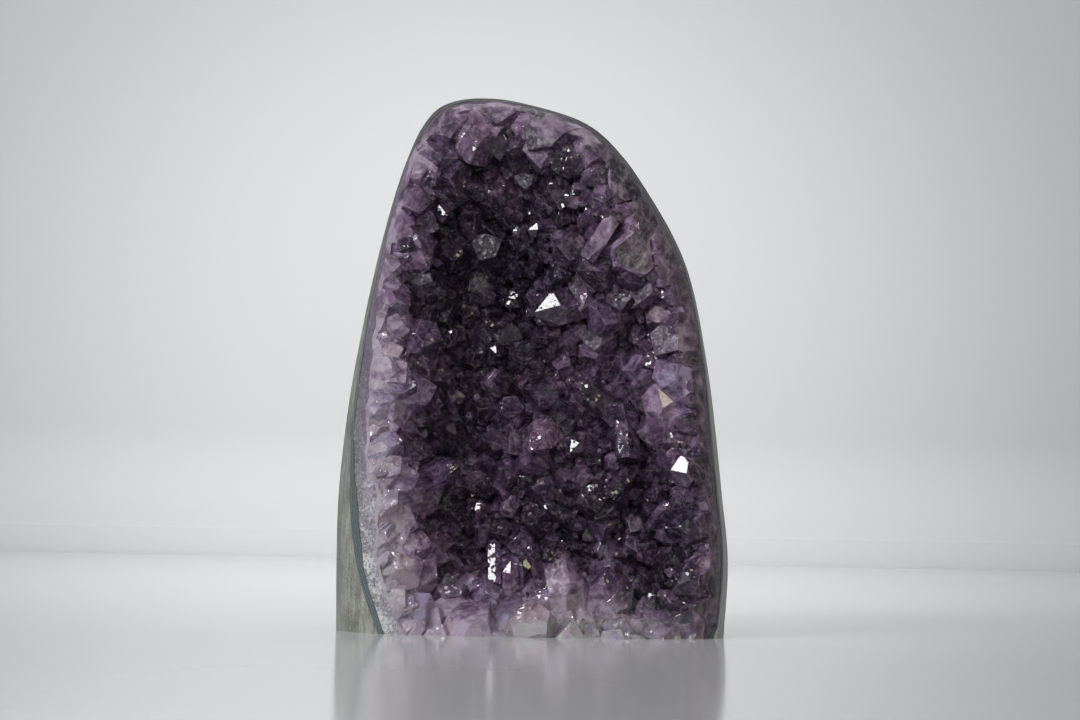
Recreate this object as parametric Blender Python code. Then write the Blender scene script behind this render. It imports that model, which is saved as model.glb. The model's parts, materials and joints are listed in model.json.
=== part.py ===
"""Amethyst cluster: a piece of geode wall, sawn flat underneath and ground smooth round its rim.

From the outside in it is a thick rind of basalt, a thin band of agate, a band of milky quartz and a crust
of amethyst crystals that line a shallow hollow. Every layer is cut by the ground outside of the stone, so
all of them show on its rim and on its foot.

Units are metres. +X is to the viewer's right, +Y goes from the crystal face to the rough back, and +Z is
up. The origin is the middle of the sawn foot.
"""

import math

import bmesh
import bpy
import numpy as np
from mathutils import Matrix, Vector

MM = 0.001

# The ground outside of the stone: (height, place) in mm along each of its four sides, from foot to top.
HEIGHT = 125 * MM
LEFT_SIDE = ((0, -45.6), (13, -45.8), (28, -45.8), (51, -43.9), (73, -40.4), (96, -35.4), (111, -30.8),
             (118, -27.6), (122.7, -23.4), (125, -13.5))
RIGHT_SIDE = ((0, 45.1), (17, 45.8), (34, 44.0), (64, 40.0), (86, 34.9), (104, 25.1), (112, 19.2),
              (119.6, 10.1), (123.5, -2.5), (125, -13.5))
FRONT_SIDE = ((0, -28.5), (12, -29.0), (35, -28.4), (64, -26.4), (94, -22.6), (110, -19.0), (120, -13.5),
              (124, -8.0), (125, -3.0))
BACK_SIDE = ((0, 29.0), (12, 29.5), (35, 29.0), (64, 26.2), (94, 20.2), (110, 14.0), (120, 7.2),
             (124, 1.5), (125, -3.0))
FRONT_SQUARENESS = 3.0
BACK_SQUARENESS = 2.4
KNOB_HEIGHT = 1.5 * MM
KNOB_PITCH = 19 * MM

# The basalt's inner face: a bowl whose rim is this outline, (x, z) in mm, seen from the front.
RIM = ((46.5, 6), (46.3, 35), (41.6, 72), (33.8, 99), (21, 113), (5, 122), (-12.5, 126.5), (-23, 124),
       (-31, 114.5), (-38.5, 92.5), (-42.3, 73), (-44.5, 49.5), (-43.9, 31), (-41.7, 17), (-36, 2), (-31.5, -6),
       (-20, -9), (0, -9), (26, -9), (39, -7.5), (44.5, -3))
BOWL_CENTRE = (-1 * MM, 58 * MM)
BOWL_FLOOR = 14.5 * MM
FLOOR_LEAN = 0.07
RIM_FORWARD = -24 * MM
RIM_LEANS_BACK = 14 * MM
WALL_POWER = 6.0
# Swells of the bowl's floor: (x, z, height, radius) in mm.
SWELLS = ((17, 88, 13, 15), (16, 34, 11, 25))

# Thickness of the bands in mm: on the bowl's floor, and along its rim as (angle, mm).
AGATE_ON_FLOOR = 1.2
AGATE_AT_RIM = ((0, 0.9), (60, 0.9), (120, 0.9), (180, 1.0), (205, 1.3), (219, 2.7), (232, 2.0), (250, 1.3),
                (300, 0.9))
QUARTZ_ON_FLOOR = 3.4
QUARTZ_AT_RIM = ((0, 1.4), (60, 1.6), (120, 2.6), (160, 4.0), (200, 4.9), (225, 5.4), (250, 4.2), (285, 2.6),
                 (320, 2.0))
GAP = 0.3 * MM
# The crust of grown-together roots: thin on the floor, and at the rim as wide as this, (angle, mm). It is
# first made from this far behind the quartz's face, and then cut there.
ROOTS_BEHIND = 3 * MM
CRUST_ON_FLOOR = 2.5 * MM
CRUST_AT_RIM = ((0, 10.5), (30, 12.5), (60, 12.5), (90, 12), (125, 9), (160, 6.5), (200, 5.5), (235, 4), (265, 3),
                (300, 2.5), (325, 3.5), (345, 7.5))

# Crystals. A crystal's end faces lean by FACE_LEAN from its length, and its lengths are counted from its root.
FACE_LEAN = math.radians(51.8)
SMALL_FACES = (0.15, 0.6)
FACE_NUDGE = 0.12
FLATTEST = 0.8
ROOT_LENGTH = 5 * MM
SEED = 7
SMALL_CRYSTALS = 88
CANDIDATES = 40
SMALL_RADIUS = 5.1
SMALL_RADIUS_SPREAD = 0.18
SMALL_RADIUS_RANGE = (3.6, 6.8)
SMALL_LENGTH = (1.4, 2.0)
LEAN_SPREAD = 0.38
LARGE_LENGTH = 2.1
HEAD_PLACE = 0.6
# The large crystals: (x, z) of the head and radius in mm, and the way that it points.
LARGE_CRYSTALS = (
    (6.5, 77, 7.4, (-0.45, -1.0, 0.10)),
    (7.5, 93, 5.4, (-0.30, -1.0, 0.15)),
    (17, 90, 6.0, (0.10, -1.0, 0.10)),
    (6.0, 86.5, 3.4, (-0.35, -1.0, -0.35)),
    (26, 93, 5.6, (0.20, -1.0, 0.20)),
    (17, 101, 3.2, (0.50, -0.8, 0.70)),
    (-30, 83.5, 5.2, (1.0, -0.45, -0.10)),
    (-24.5, 88, 4.6, (1.0, -0.40, -0.30)),
    (-27, 97, 4.6, (1.0, -0.45, 0.15)),
    (-25.5, 108, 4.8, (0.7, -0.50, -0.70)),
    (-12, 93, 6.6, (0.05, -1.0, 0.25)),
    (-9, 113, 6.0, (0.05, -0.50, -1.0)),
    (5, 109, 5.4, (0.05, -0.60, -1.0)),
    (8.3, 8, 6.4, (-0.15, -0.50, 1.0)),
    (2.5, 5, 4.6, (-0.70, -0.50, 0.80)),
    (18.4, 7.5, 4.6, (0.15, -0.50, 1.0)),
    (23, 4, 4.0, (0.80, -0.50, 0.60)),
    (-29.5, 7, 4.8, (0.7, -0.50, 0.70)),
    (-31, 17, 4.4, (1.0, -0.50, 0.30)),
    (-21, 6, 4.4, (0.1, -0.50, 1.0)),
    (-11.5, 5, 4.4, (-0.1, -0.50, 1.0)),
    (13.5, 56.6, 4.2, (0.10, -1.0, 0.15)),
    (1.0, 43, 4.4, (-0.20, -1.0, -0.10)),
    (33.5, 39, 4.6, (-0.30, -1.0, 0.20)),
    (29, 55.5, 5.0, (-0.10, -1.0, 0.10)),
    (23, 50, 4.4, (0.20, -1.0, -0.10)),
    (-10, 18, 4.0, (0.0, -1.0, 0.30)),
)

# The chip out of the foot's right front corner.
CHIP = (42.4 * MM, -18.0 * MM, 2.0 * MM)
CHIP_RADIUS = 3.6 * MM

# How finely the solids are faceted.
TURNS = 32
HEIGHTS = 13
BOWL_TURNS = 24
BOWL_REACHES = (1.15, 1.0, 0.91, 0.78, 0.5, 0.01)
FAR_FRONT = -90 * MM


def clear_scene():
    for obj in list(bpy.data.objects):
        bpy.data.objects.remove(obj)


def new_collection(name):
    collection = bpy.data.collections.new(name)
    bpy.context.scene.collection.children.link(collection)
    return collection


def material(name, colour, roughness):
    made = bpy.data.materials.new(name)
    made.use_nodes = True
    shader = made.node_tree.nodes["Principled BSDF"]
    shader.inputs["Base Color"].default_value = (*colour, 1.0)
    shader.inputs["Roughness"].default_value = roughness
    return made


def through(knots, values, at):
    """Smooth curve through the knots: cubic pieces that meet with the slope of their neighbours."""
    slopes = np.gradient(values, knots)
    piece = np.clip(np.searchsorted(knots, at) - 1, 0, len(knots) - 2)
    width = knots[piece + 1] - knots[piece]
    t = (at - knots[piece]) / width
    return (values[piece] * (1 + 2 * t) * (1 - t) ** 2
            + values[piece + 1] * t ** 2 * (3 - 2 * t)
            + width * t * (1 - t) * (slopes[piece] * (1 - t) - slopes[piece + 1] * t))


def side(points, crown):
    """A side of the stone at crown = sqrt(1 - z / height), which is 1 at the foot and 0 at the top."""
    heights, places = np.array(points[::-1], float).T * MM
    return through(np.sqrt(1 - heights / HEIGHT), places, crown)


def knobs(points):
    """Slow lumps of rough rock, from -1 to 1: the mean of three plane waves that cross."""
    waves = np.array(((0.9, 0.3, 0.5), (-0.5, 0.4, 0.9), (0.3, -0.8, 0.6))) * 2 * math.pi / KNOB_PITCH
    return np.sin(points @ waves.T + np.array((0.3, 1.9, 4.1))).mean(axis=-1)


def ground_rings():
    """Rings of the stone's outside, from the foot up. Each is a squared oval, with lumps on the back."""
    crown = np.linspace(1, 0.03, HEIGHTS)[:, None]
    turn = np.linspace(0, 2 * math.pi, TURNS, endpoint=False)[None, :]
    left, right, front, back = (side(s, crown) for s in (LEFT_SIDE, RIGHT_SIDE, FRONT_SIDE, BACK_SIDE))
    squareness = np.where(np.sin(turn) < 0, FRONT_SQUARENESS, BACK_SQUARENESS)
    across = np.sign(np.cos(turn)) * np.abs(np.cos(turn)) ** (2 / squareness)
    along = np.sign(np.sin(turn)) * np.abs(np.sin(turn)) ** (2 / squareness)
    x = (left + right) / 2 + (right - left) / 2 * across
    y = (front + back) / 2 + (back - front) / 2 * along
    z = HEIGHT * (1 - crown ** 2) + 0 * turn
    rings = np.stack((x, y, z), axis=-1)
    backness = np.clip(along - 0.15, 0, 1)
    inward = KNOB_HEIGHT * backness * (1 + knobs(rings)) * np.minimum(1, 4 * crown)
    rings[..., 1] -= inward
    return rings


def all_round(angles, values, turn):
    """Smooth curve through values that repeat with every full turn."""
    knots = np.concatenate([angles - 2 * math.pi, angles, angles + 2 * math.pi])
    return through(knots, np.tile(values, 3), turn)


def rim_radius(turn):
    """How far the bowl's rim lies from its centre, at each angle in the front view."""
    x, z = np.array(RIM).T * MM
    angles = np.unwrap(np.arctan2(z - BOWL_CENTRE[1], x - BOWL_CENTRE[0]))
    return all_round(angles, np.hypot(x - BOWL_CENTRE[0], z - BOWL_CENTRE[1]), turn)


def bowl(turn, reach, inset=0.0):
    """A face of the hollow: nearly flat at reach 0, and steep at its rim, reach 1, by a power of the reach.

    The basalt's inner face has no inset. Each face in front of it is smaller and nearer by its inset.
    """
    radius = (rim_radius(turn) - inset) * reach
    x = BOWL_CENTRE[0] + radius * np.cos(turn)
    z = BOWL_CENTRE[1] + radius * np.sin(turn)
    floor = BOWL_FLOOR - FLOOR_LEAN * z - inset
    rim = RIM_FORWARD + RIM_LEANS_BACK * (z / HEIGHT) ** 3
    y = floor + (rim - floor) * reach ** WALL_POWER
    for swell_x, swell_z, height, spread in SWELLS:
        far = np.hypot(x - swell_x * MM, z - swell_z * MM) / (spread * MM)
        y = y - height * MM * np.exp(-far ** 2)
    return np.stack((x, y, z), axis=-1)


def band(on_floor, at_rim, turn, reach):
    """Thickness of a band: on_floor in the middle, and growing with the reach squared to its width at the rim."""
    angles, widths = np.array(at_rim).T
    wide = all_round(np.radians(angles), widths, turn)
    return (on_floor + (wide - on_floor) * np.minimum(reach, 1) ** 2) * MM


def agate_face(turn, reach, lift=0.0):
    return bowl(turn, reach, band(AGATE_ON_FLOOR, AGATE_AT_RIM, turn, reach) + lift)


def quartz_face(turn, reach, lift=0.0):
    return agate_face(turn, reach, band(QUARTZ_ON_FLOOR, QUARTZ_AT_RIM, turn, reach) + lift)


def crust_face(turn, reach, lift=0.0):
    """The face that the crystals stand on: the quartz under a crust that grows towards the rim."""
    angles, widths = np.array(CRUST_AT_RIM).T
    wide = all_round(np.radians(angles), widths * MM, turn)
    crust = CRUST_ON_FLOOR + (wide - CRUST_ON_FLOOR) * np.minimum(reach, 1) ** WALL_POWER
    return quartz_face(turn, reach, crust + lift)


def into_hollow(turn, reach):
    """Unit normals of the crust's face, pointing into the hollow."""
    step = 1e-3
    along = crust_face(turn + step, reach) - crust_face(turn - step, reach)
    out = crust_face(turn, reach + step) - crust_face(turn, reach - step)
    normal = np.cross(out, along)
    return normal / np.linalg.norm(normal, axis=-1, keepdims=True)


def loft(name, rings, collection):
    """A closed solid through rings of points, with a flat cap on the first and on the last.

    Each four-cornered face is split along the same diagonal, so that faces one inside another stay apart.
    """
    count, around = rings.shape[:2]
    corner = np.arange(count * around).reshape(count, around)
    beside = np.roll(corner, -1, axis=1)
    lower = np.stack((corner[:-1], beside[:-1], beside[1:]), axis=-1).reshape(-1, 3)
    upper = np.stack((corner[:-1], beside[1:], corner[1:]), axis=-1).reshape(-1, 3)
    faces = lower.tolist() + upper.tolist() + [corner[0, ::-1].tolist(), corner[-1].tolist()]
    mesh = bpy.data.meshes.new(name)
    mesh.from_pydata(rings.reshape(-1, 3).tolist(), [], faces)
    shell = bmesh.new()
    shell.from_mesh(mesh)
    bmesh.ops.recalc_face_normals(shell, faces=shell.faces)
    shell.to_mesh(mesh)
    shell.free()
    obj = bpy.data.objects.new(name, mesh)
    collection.objects.link(obj)
    return obj


def hollow_rings(face, lift=0.0):
    """Rings of all that lies in front of a face of the hollow, which is lifted into the hollow by lift.

    The flat cap far in front moves with the lift too, so no two of these solids share a face.
    """
    turn = np.linspace(0, 2 * math.pi, BOWL_TURNS, endpoint=False)[None, :]
    reach = np.array(BOWL_REACHES)[:, None]
    turn, reach = np.broadcast_arrays(turn, reach)
    rings = face(turn, reach, lift)
    front = rings[:1].copy()
    front[..., 1] = FAR_FRONT - 4 * lift
    return np.concatenate((front, rings))


def helper(obj):
    obj.hide_render = True
    obj.display_type = "WIRE"
    return obj


def ball(name, centre, radius, collection):
    shape = bmesh.new()
    bmesh.ops.create_icosphere(shape, subdivisions=2, radius=radius, matrix=Matrix.Translation(centre))
    mesh = bpy.data.meshes.new(name)
    shape.to_mesh(mesh)
    shape.free()
    obj = bpy.data.objects.new(name, mesh)
    collection.objects.link(obj)
    return helper(obj)


def boolean(obj, operation, other, solver="EXACT"):
    modifier = obj.modifiers.new(f"{operation.lower()} {other.name}", "BOOLEAN")
    modifier.operation = operation
    modifier.solver = solver
    if isinstance(other, bpy.types.Collection):
        modifier.operand_type = "COLLECTION"
        modifier.collection = other
    else:
        modifier.object = other


def keep_main_body(obj):
    """Carries out the modifiers, then drops sealed gaps between crystals and slivers that came loose."""
    bpy.context.view_layer.update()
    evaluated = obj.evaluated_get(bpy.context.evaluated_depsgraph_get())
    mesh = bpy.data.meshes.new_from_object(evaluated)
    obj.modifiers.clear()
    obj.data = mesh
    shape = bmesh.new()
    shape.from_mesh(mesh)
    waiting = set(shape.verts)
    bodies = []
    while waiting:
        body = {waiting.pop()}
        edge_of_search = list(body)
        while edge_of_search:
            vert = edge_of_search.pop()
            found = {edge.other_vert(vert) for edge in vert.link_edges} & waiting
            waiting -= found
            body |= found
            edge_of_search.extend(found)
        bodies.append(body)
    bodies.sort(key=len)
    loose = [vert for body in bodies[:-1] for vert in body]
    bmesh.ops.delete(shape, geom=loose, context="VERTS")
    shape.to_mesh(mesh)
    shape.free()


def small_sites(rng):
    """(turn, reach) of the small crystals: each is the candidate that lies furthest from those before it."""
    turns = rng.uniform(0, 2 * math.pi, (SMALL_CRYSTALS, CANDIDATES))
    reaches = np.sqrt(rng.uniform(0, 1, (SMALL_CRYSTALS, CANDIDATES)))
    places = crust_face(turns, reaches)
    taken = np.array([(x * MM, places[..., 1].mean(), z * MM) for x, z, _, _ in LARGE_CRYSTALS])
    taken[:, 1] = nearest_depth(taken, places.reshape(-1, 3))
    chosen = []
    for turn, reach, place in zip(turns, reaches, places):
        clear = np.linalg.norm(place[:, None] - taken[None], axis=-1).min(axis=1)
        best = int(clear.argmax())
        chosen.append((turn[best], reach[best]))
        taken = np.vstack((taken, place[best]))
    return np.array(chosen).T


def nearest_depth(heads, places):
    """The y of the place nearest to each head in the front view."""
    apart = np.linalg.norm(heads[:, None, ::2] - places[None, :, ::2], axis=-1)
    return places[apart.argmin(axis=1), 1]


def front_view_site(x, z):
    """(turn, reach) of the bowl's point at (x, z) in the front view."""
    turn = np.arctan2(z - BOWL_CENTRE[1], x - BOWL_CENTRE[0]) % (2 * math.pi)
    return turn, np.hypot(x - BOWL_CENTRE[0], z - BOWL_CENTRE[1]) / rim_radius(turn)


def crystal(name, root, points_along, radius, length, rng, collection):
    """A six-sided prism whose end is cut by six sloping faces, three large ones between three small ones."""
    shape = bmesh.new()
    whole = ROOT_LENGTH + length
    bmesh.ops.create_cone(shape, cap_ends=True, segments=6, radius1=radius, radius2=radius, depth=whole)
    bmesh.ops.translate(shape, verts=shape.verts, vec=(0, 0, whole / 2 - ROOT_LENGTH))
    small_face = rng.uniform(*SMALL_FACES) * radius
    nudges = rng.uniform(-FACE_NUDGE, FACE_NUDGE, 6) * radius
    for k in range(6):
        angle = math.radians(30 + 60 * k)
        slope = Vector((math.cos(angle), math.sin(angle), 1 / math.tan(FACE_LEAN))).normalized()
        tip = Vector((0, 0, length + nudges[k] + small_face * (k % 2)))
        everything = shape.verts[:] + shape.edges[:] + shape.faces[:]
        cut = bmesh.ops.bisect_plane(shape, geom=everything, plane_co=tip, plane_no=slope, clear_outer=True)
        edges = [part for part in cut["geom_cut"] if isinstance(part, bmesh.types.BMEdge)]
        if edges:
            bmesh.ops.edgeloop_fill(shape, edges=edges)
    flatten = Matrix.Diagonal((rng.uniform(FLATTEST, 1), 1, 1, 1))
    twist = Matrix.Rotation(rng.uniform(0, 2 * math.pi), 4, "Z")
    aim = Vector(points_along).to_track_quat("Z", "Y").to_matrix().to_4x4()
    shape.transform(Matrix.Translation(root) @ aim @ twist @ flatten)
    bmesh.ops.recalc_face_normals(shape, faces=shape.faces)
    if shape.calc_volume(signed=True) < 0:
        bmesh.ops.reverse_faces(shape, faces=shape.faces)
    mesh = bpy.data.meshes.new(name)
    shape.to_mesh(mesh)
    shape.free()
    collection.objects.link(helper(bpy.data.objects.new(name, mesh)))


def grow_crystals(collection):
    """Large crystals where they are listed, and small ones between them, all rooted on the crust's face."""
    rng = np.random.default_rng(SEED)
    for k, (head_x, head_z, radius, way) in enumerate(LARGE_CRYSTALS):
        way = np.array(way) / np.linalg.norm(way)
        length = LARGE_LENGTH * radius * MM
        root_x = head_x * MM - way[0] * length * HEAD_PLACE
        root_z = head_z * MM - way[2] * length * HEAD_PLACE
        root = crust_face(*front_view_site(root_x, root_z))
        crystal(f"large_crystal_{k:02d}", root, way, radius * MM, length, rng, collection)
    turns, reaches = small_sites(rng)
    roots = crust_face(turns, reaches)
    normals = into_hollow(turns, reaches)
    ways = normals + rng.uniform(-LEAN_SPREAD, LEAN_SPREAD, normals.shape)
    radii = rng.lognormal(math.log(SMALL_RADIUS), SMALL_RADIUS_SPREAD, len(turns))
    radii = np.clip(radii, *SMALL_RADIUS_RANGE) * MM
    lengths = radii * rng.uniform(*SMALL_LENGTH, len(turns))
    for k, (root, way, radius, length) in enumerate(zip(roots, ways, radii, lengths)):
        crystal(f"small_crystal_{k:02d}", root, way, radius, length, rng, collection)


def rind(parts, hollow, chip):
    node = loft("basalt_rind", ground_rings(), parts)
    boolean(node, "DIFFERENCE", hollow)
    boolean(node, "DIFFERENCE", chip)
    node.data.materials.append(material("basalt", (0.23, 0.24, 0.21), 0.7))


def band_between(name, near, far, outside, chip, parts, finish):
    """A band: what is in front of its near face and behind its far one, within the ground outside."""
    node = loft(name, near, parts)
    boolean(node, "INTERSECT", outside)
    boolean(node, "DIFFERENCE", far)
    boolean(node, "DIFFERENCE", chip)
    keep_main_body(node)
    node.data.materials.append(finish)


def crust(parts, tools, crystals, outside):
    """The crystals, fused on the crust of their own roots, cut to the quartz band and to the outside.

    The EXACT solver fails on this many crossing faces, so each step uses MANIFOLD.
    """
    node = loft("amethyst_crust", hollow_rings(quartz_face, -ROOTS_BEHIND), parts)
    steps = (
        ("DIFFERENCE", helper(loft("above_roots", hollow_rings(crust_face), tools))),
        ("UNION", crystals),
        ("INTERSECT", helper(loft("before_quartz", hollow_rings(quartz_face, GAP), tools))),
        ("INTERSECT", outside),
    )
    for operation, other in steps:
        boolean(node, operation, other, "MANIFOLD")
    keep_main_body(node)
    node.data.materials.append(material("amethyst", (0.16, 0.07, 0.22), 0.15))


def main():
    clear_scene()
    parts = new_collection("amethyst_cluster")
    tools = new_collection("tools")
    crystals = new_collection("crystals")
    outside = helper(loft("ground_outside", ground_rings(), tools))
    chip = ball("chip", CHIP, CHIP_RADIUS, tools)
    basalt_near = helper(loft("basalt_near", hollow_rings(bowl), tools))
    agate_near = helper(loft("agate_near", hollow_rings(agate_face), tools))
    quartz_near = helper(loft("quartz_near", hollow_rings(quartz_face), tools))
    rind(parts, basalt_near, chip)
    band_between("agate_band", hollow_rings(bowl, GAP), agate_near, outside, chip, parts,
                 material("agate", (0.12, 0.14, 0.15), 0.3))
    band_between("quartz_band", hollow_rings(agate_face, GAP), quartz_near, outside, chip, parts,
                 material("milky_quartz", (0.50, 0.47, 0.52), 0.3))
    grow_crystals(crystals)
    crust(parts, tools, crystals, outside)


main()
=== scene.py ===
"""Looks of the amethyst cluster: fine crystals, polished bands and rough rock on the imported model's frame.

The stone is worked out once more from the same dimensions as its solids, but finely: the ground outside,
the nested faces of the hollow and a crust of many crystals. Lengths are metres unless a name or a comment
says mm. +X is to the right, +Y to the rough back and +Z up.
"""

import json
import math
from contextlib import contextmanager
from itertools import combinations

import bmesh
import bpy
import numpy as np
from mathutils import Matrix, Vector

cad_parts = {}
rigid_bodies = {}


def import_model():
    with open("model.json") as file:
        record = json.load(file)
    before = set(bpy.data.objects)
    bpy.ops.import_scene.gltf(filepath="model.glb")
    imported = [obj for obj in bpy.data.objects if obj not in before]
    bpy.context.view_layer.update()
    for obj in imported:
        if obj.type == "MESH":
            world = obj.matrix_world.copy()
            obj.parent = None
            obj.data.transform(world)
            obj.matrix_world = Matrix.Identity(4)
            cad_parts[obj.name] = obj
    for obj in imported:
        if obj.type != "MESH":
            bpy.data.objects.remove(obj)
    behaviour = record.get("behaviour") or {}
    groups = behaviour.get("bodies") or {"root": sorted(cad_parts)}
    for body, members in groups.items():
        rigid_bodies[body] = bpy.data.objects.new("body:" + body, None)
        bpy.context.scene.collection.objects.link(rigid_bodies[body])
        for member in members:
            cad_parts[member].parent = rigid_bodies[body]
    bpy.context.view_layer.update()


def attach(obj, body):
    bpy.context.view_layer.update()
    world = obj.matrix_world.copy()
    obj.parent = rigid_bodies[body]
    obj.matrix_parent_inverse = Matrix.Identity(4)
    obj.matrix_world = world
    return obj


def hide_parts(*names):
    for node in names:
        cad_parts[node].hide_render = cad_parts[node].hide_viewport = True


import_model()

MM = 0.001

# ---------------------------------------------------------------------------------------- driving dimensions

# The ground outside of the stone: (height, place) in mm along each of its four sides, from foot to top.
HEIGHT = 125 * MM
LEFT_SIDE = ((0, -45.6), (13, -45.8), (28, -45.8), (51, -43.9), (73, -40.4), (96, -35.4), (111, -30.8),
             (118, -27.6), (122.7, -23.4), (125, -13.5))
RIGHT_SIDE = ((0, 45.1), (17, 45.8), (34, 44.0), (64, 40.0), (86, 34.9), (104, 25.1), (112, 19.2),
              (119.6, 10.1), (123.5, -2.5), (125, -13.5))
FRONT_SIDE = ((0, -28.5), (12, -29.0), (35, -28.4), (64, -26.4), (94, -22.6), (110, -19.0), (120, -13.5),
              (124, -8.0), (125, -3.0))
BACK_SIDE = ((0, 29.0), (12, 29.5), (35, 29.0), (64, 26.2), (94, 20.2), (110, 14.0), (120, 7.2),
             (124, 1.5), (125, -3.0))
# How square its level cuts are, in front and behind. 2 is a plain oval.
FRONT_SQUARENESS = 3.0
BACK_SQUARENESS = 2.4
# Knobs on its back, and lumps where the rock is broken: (pitch, height) in mm, on a face that is set in.
KNOB_HEIGHT = 1.5 * MM
KNOB_PITCH = 19 * MM
BACK_LUMPS = ((9, 0.9), (3.6, 0.45), (1.5, 0.2))
BACK_SET_IN = 0.8 * MM
# Where the rock's shape turns from ground to broken, as a share of the way from its middle to its back, and
# where its looks do: this far back, and over this way, in mm.
GROUND_SHARE = 0.15
BROKEN_FROM = 6
BROKEN_FADE = 8

# The basalt's inner face: a bowl whose rim is this outline, (x, z) in mm, seen from the front.
RIM = ((46.5, 6), (46.3, 35), (41.6, 72), (33.8, 99), (21, 113), (5, 122), (-12.5, 126.5), (-23, 124),
       (-31, 114.5), (-38.5, 92.5), (-42.3, 73), (-44.5, 49.5), (-43.9, 31), (-41.7, 17), (-36, 2),
       (-31.5, -6), (-20, -9), (0, -9), (26, -9), (39, -7.5), (44.5, -3))
BOWL_CENTRE = (-1 * MM, 58 * MM)
# How far back its floor lies, and how much it leans forward with the height.
BOWL_FLOOR = 14.5 * MM
FLOOR_LEAN = 0.07
# How far forward its rim lies at the foot, and how much further back at the top.
RIM_FORWARD = -24 * MM
RIM_LEANS_BACK = 14 * MM
# The wall rises from the floor to the rim with this power of the way out.
WALL_POWER = 6.0
# Swells of the floor: (x, z), height and spread in mm.
SWELLS = ((17, 88, 13, 15), (16, 34, 11, 25))

# Thickness of the bands in mm: on the bowl's floor, and along its rim as (angle, mm), from the right upwards.
AGATE_ON_FLOOR = 1.2
AGATE_AT_RIM = ((0, 0.7), (60, 0.5), (120, 0.5), (180, 0.9), (205, 1.3), (219, 2.7), (232, 2.0), (250, 1.3),
                (300, 0.9))
QUARTZ_ON_FLOOR = 3.4
QUARTZ_AT_RIM = ((0, 1.2), (60, 1.1), (120, 1.4), (160, 2.8), (200, 4.4), (225, 5.2), (250, 4.0), (285, 2.6),
                 (320, 2.0))
# How far their inner faces stray, and over what pitch.
AGATE_WANDER = 0.45 * MM
QUARTZ_WANDER = 1.6 * MM
WANDER_PITCH = 3.6 * MM
# The crust of amethyst that the crystals stand on, in the same way. It reaches CRUST_ROOT into the quartz
# before it is cut off there.
CRUST_ON_FLOOR = 2.5 * MM
CRUST_AT_RIM = ((0, 3), (30, 4), (60, 4.5), (90, 3.5), (125, 2.2), (160, 1.2), (200, 0.7), (235, 0.7),
                (265, 1.0), (300, 1.5), (325, 2.0), (345, 2.5))
CRUST_ROOT = 3 * MM
# The crust between the rim's crystals lies this far behind the ground outside.
RIM_RELIEF = 0.4 * MM
# The rim's crystals are worn unevenly: lumps of this height and pitch.
WEAR_DEPTH = 0.7 * MM
WEAR_PITCH = 4.6 * MM
# Each band reaches this far into the next, so that no crack shows between them.
BITE = 0.06 * MM

# Crystals. Their end faces look FACE_LEAN away from their length. A crystal's root is where it leaves the
# crust, its length counts from there, and ROOT_LENGTH more of it stays inside.
FACE_LEAN = math.radians(51.8)
ROOT_LENGTH = 7.5 * MM
# No two are alike: an end face lies up to END_JITTER radii further in or out, every second one is pushed out
# by SMALL_END radii, and a side lies at SIDE_SHARE of its place.
END_JITTER = 0.13
SMALL_END = (0.1, 0.7)
SIDE_SHARE = (0.86, 1.1)
# The length of a large or glinting one in radii, and the share of it at which its head is.
LARGE_LENGTH = 2.1
HEAD_PLACE = 0.6
# The large crystals: (x, z) of the head and radius in mm, the way that it points, and how far it stands out
# of the crust in mm.
LARGE_CRYSTALS = (
    (7.5, 93, 5.0, (-0.60, -1.0, 0.15), 0),
    (16, 88, 6.0, (0.25, -1.0, -0.30), 0),
    (6.0, 86.5, 3.4, (-0.35, -1.0, -0.35), 1),
    (25, 92, 5.6, (0.45, -1.0, 0.20), 0),
    (-12, 93, 5.2, (0.50, -0.8, 0.55), 0),
    (-9, 105, 5.4, (0.05, -0.50, -1.0), 0),
    (5, 106, 5.4, (0.25, -0.60, -1.0), 0),
    (8.3, 8.5, 6.4, (-0.05, -0.30, 1.0), 4),
    (2.5, 5, 4.6, (-0.70, -0.50, 0.80), 4),
    (18.4, 8, 4.8, (0.15, -0.40, 1.0), 5),
    (23, 4, 4.0, (0.80, -0.50, 0.60), 5),
    (-11.5, 5, 4.4, (-0.1, -0.50, 1.0), 4),
    (-21, 5, 4.6, (-0.2, -0.50, 1.0), 4),
    (-28, 9, 4.4, (0.6, -0.50, 0.8), 4),
    (30, 3, 3.6, (0.2, -0.50, 0.8), 5),
    (23, 50, 4.4, (0.40, -1.0, -0.30), 1),
    (-30.5, 14.5, 4.4, (1.0, -0.40, 0.15), 3),
    (-30.5, 70, 5.0, (1.0, -0.35, -0.10), 3),
    (-28, 83, 4.6, (1.0, -0.45, -0.45), 3),
)
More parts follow.
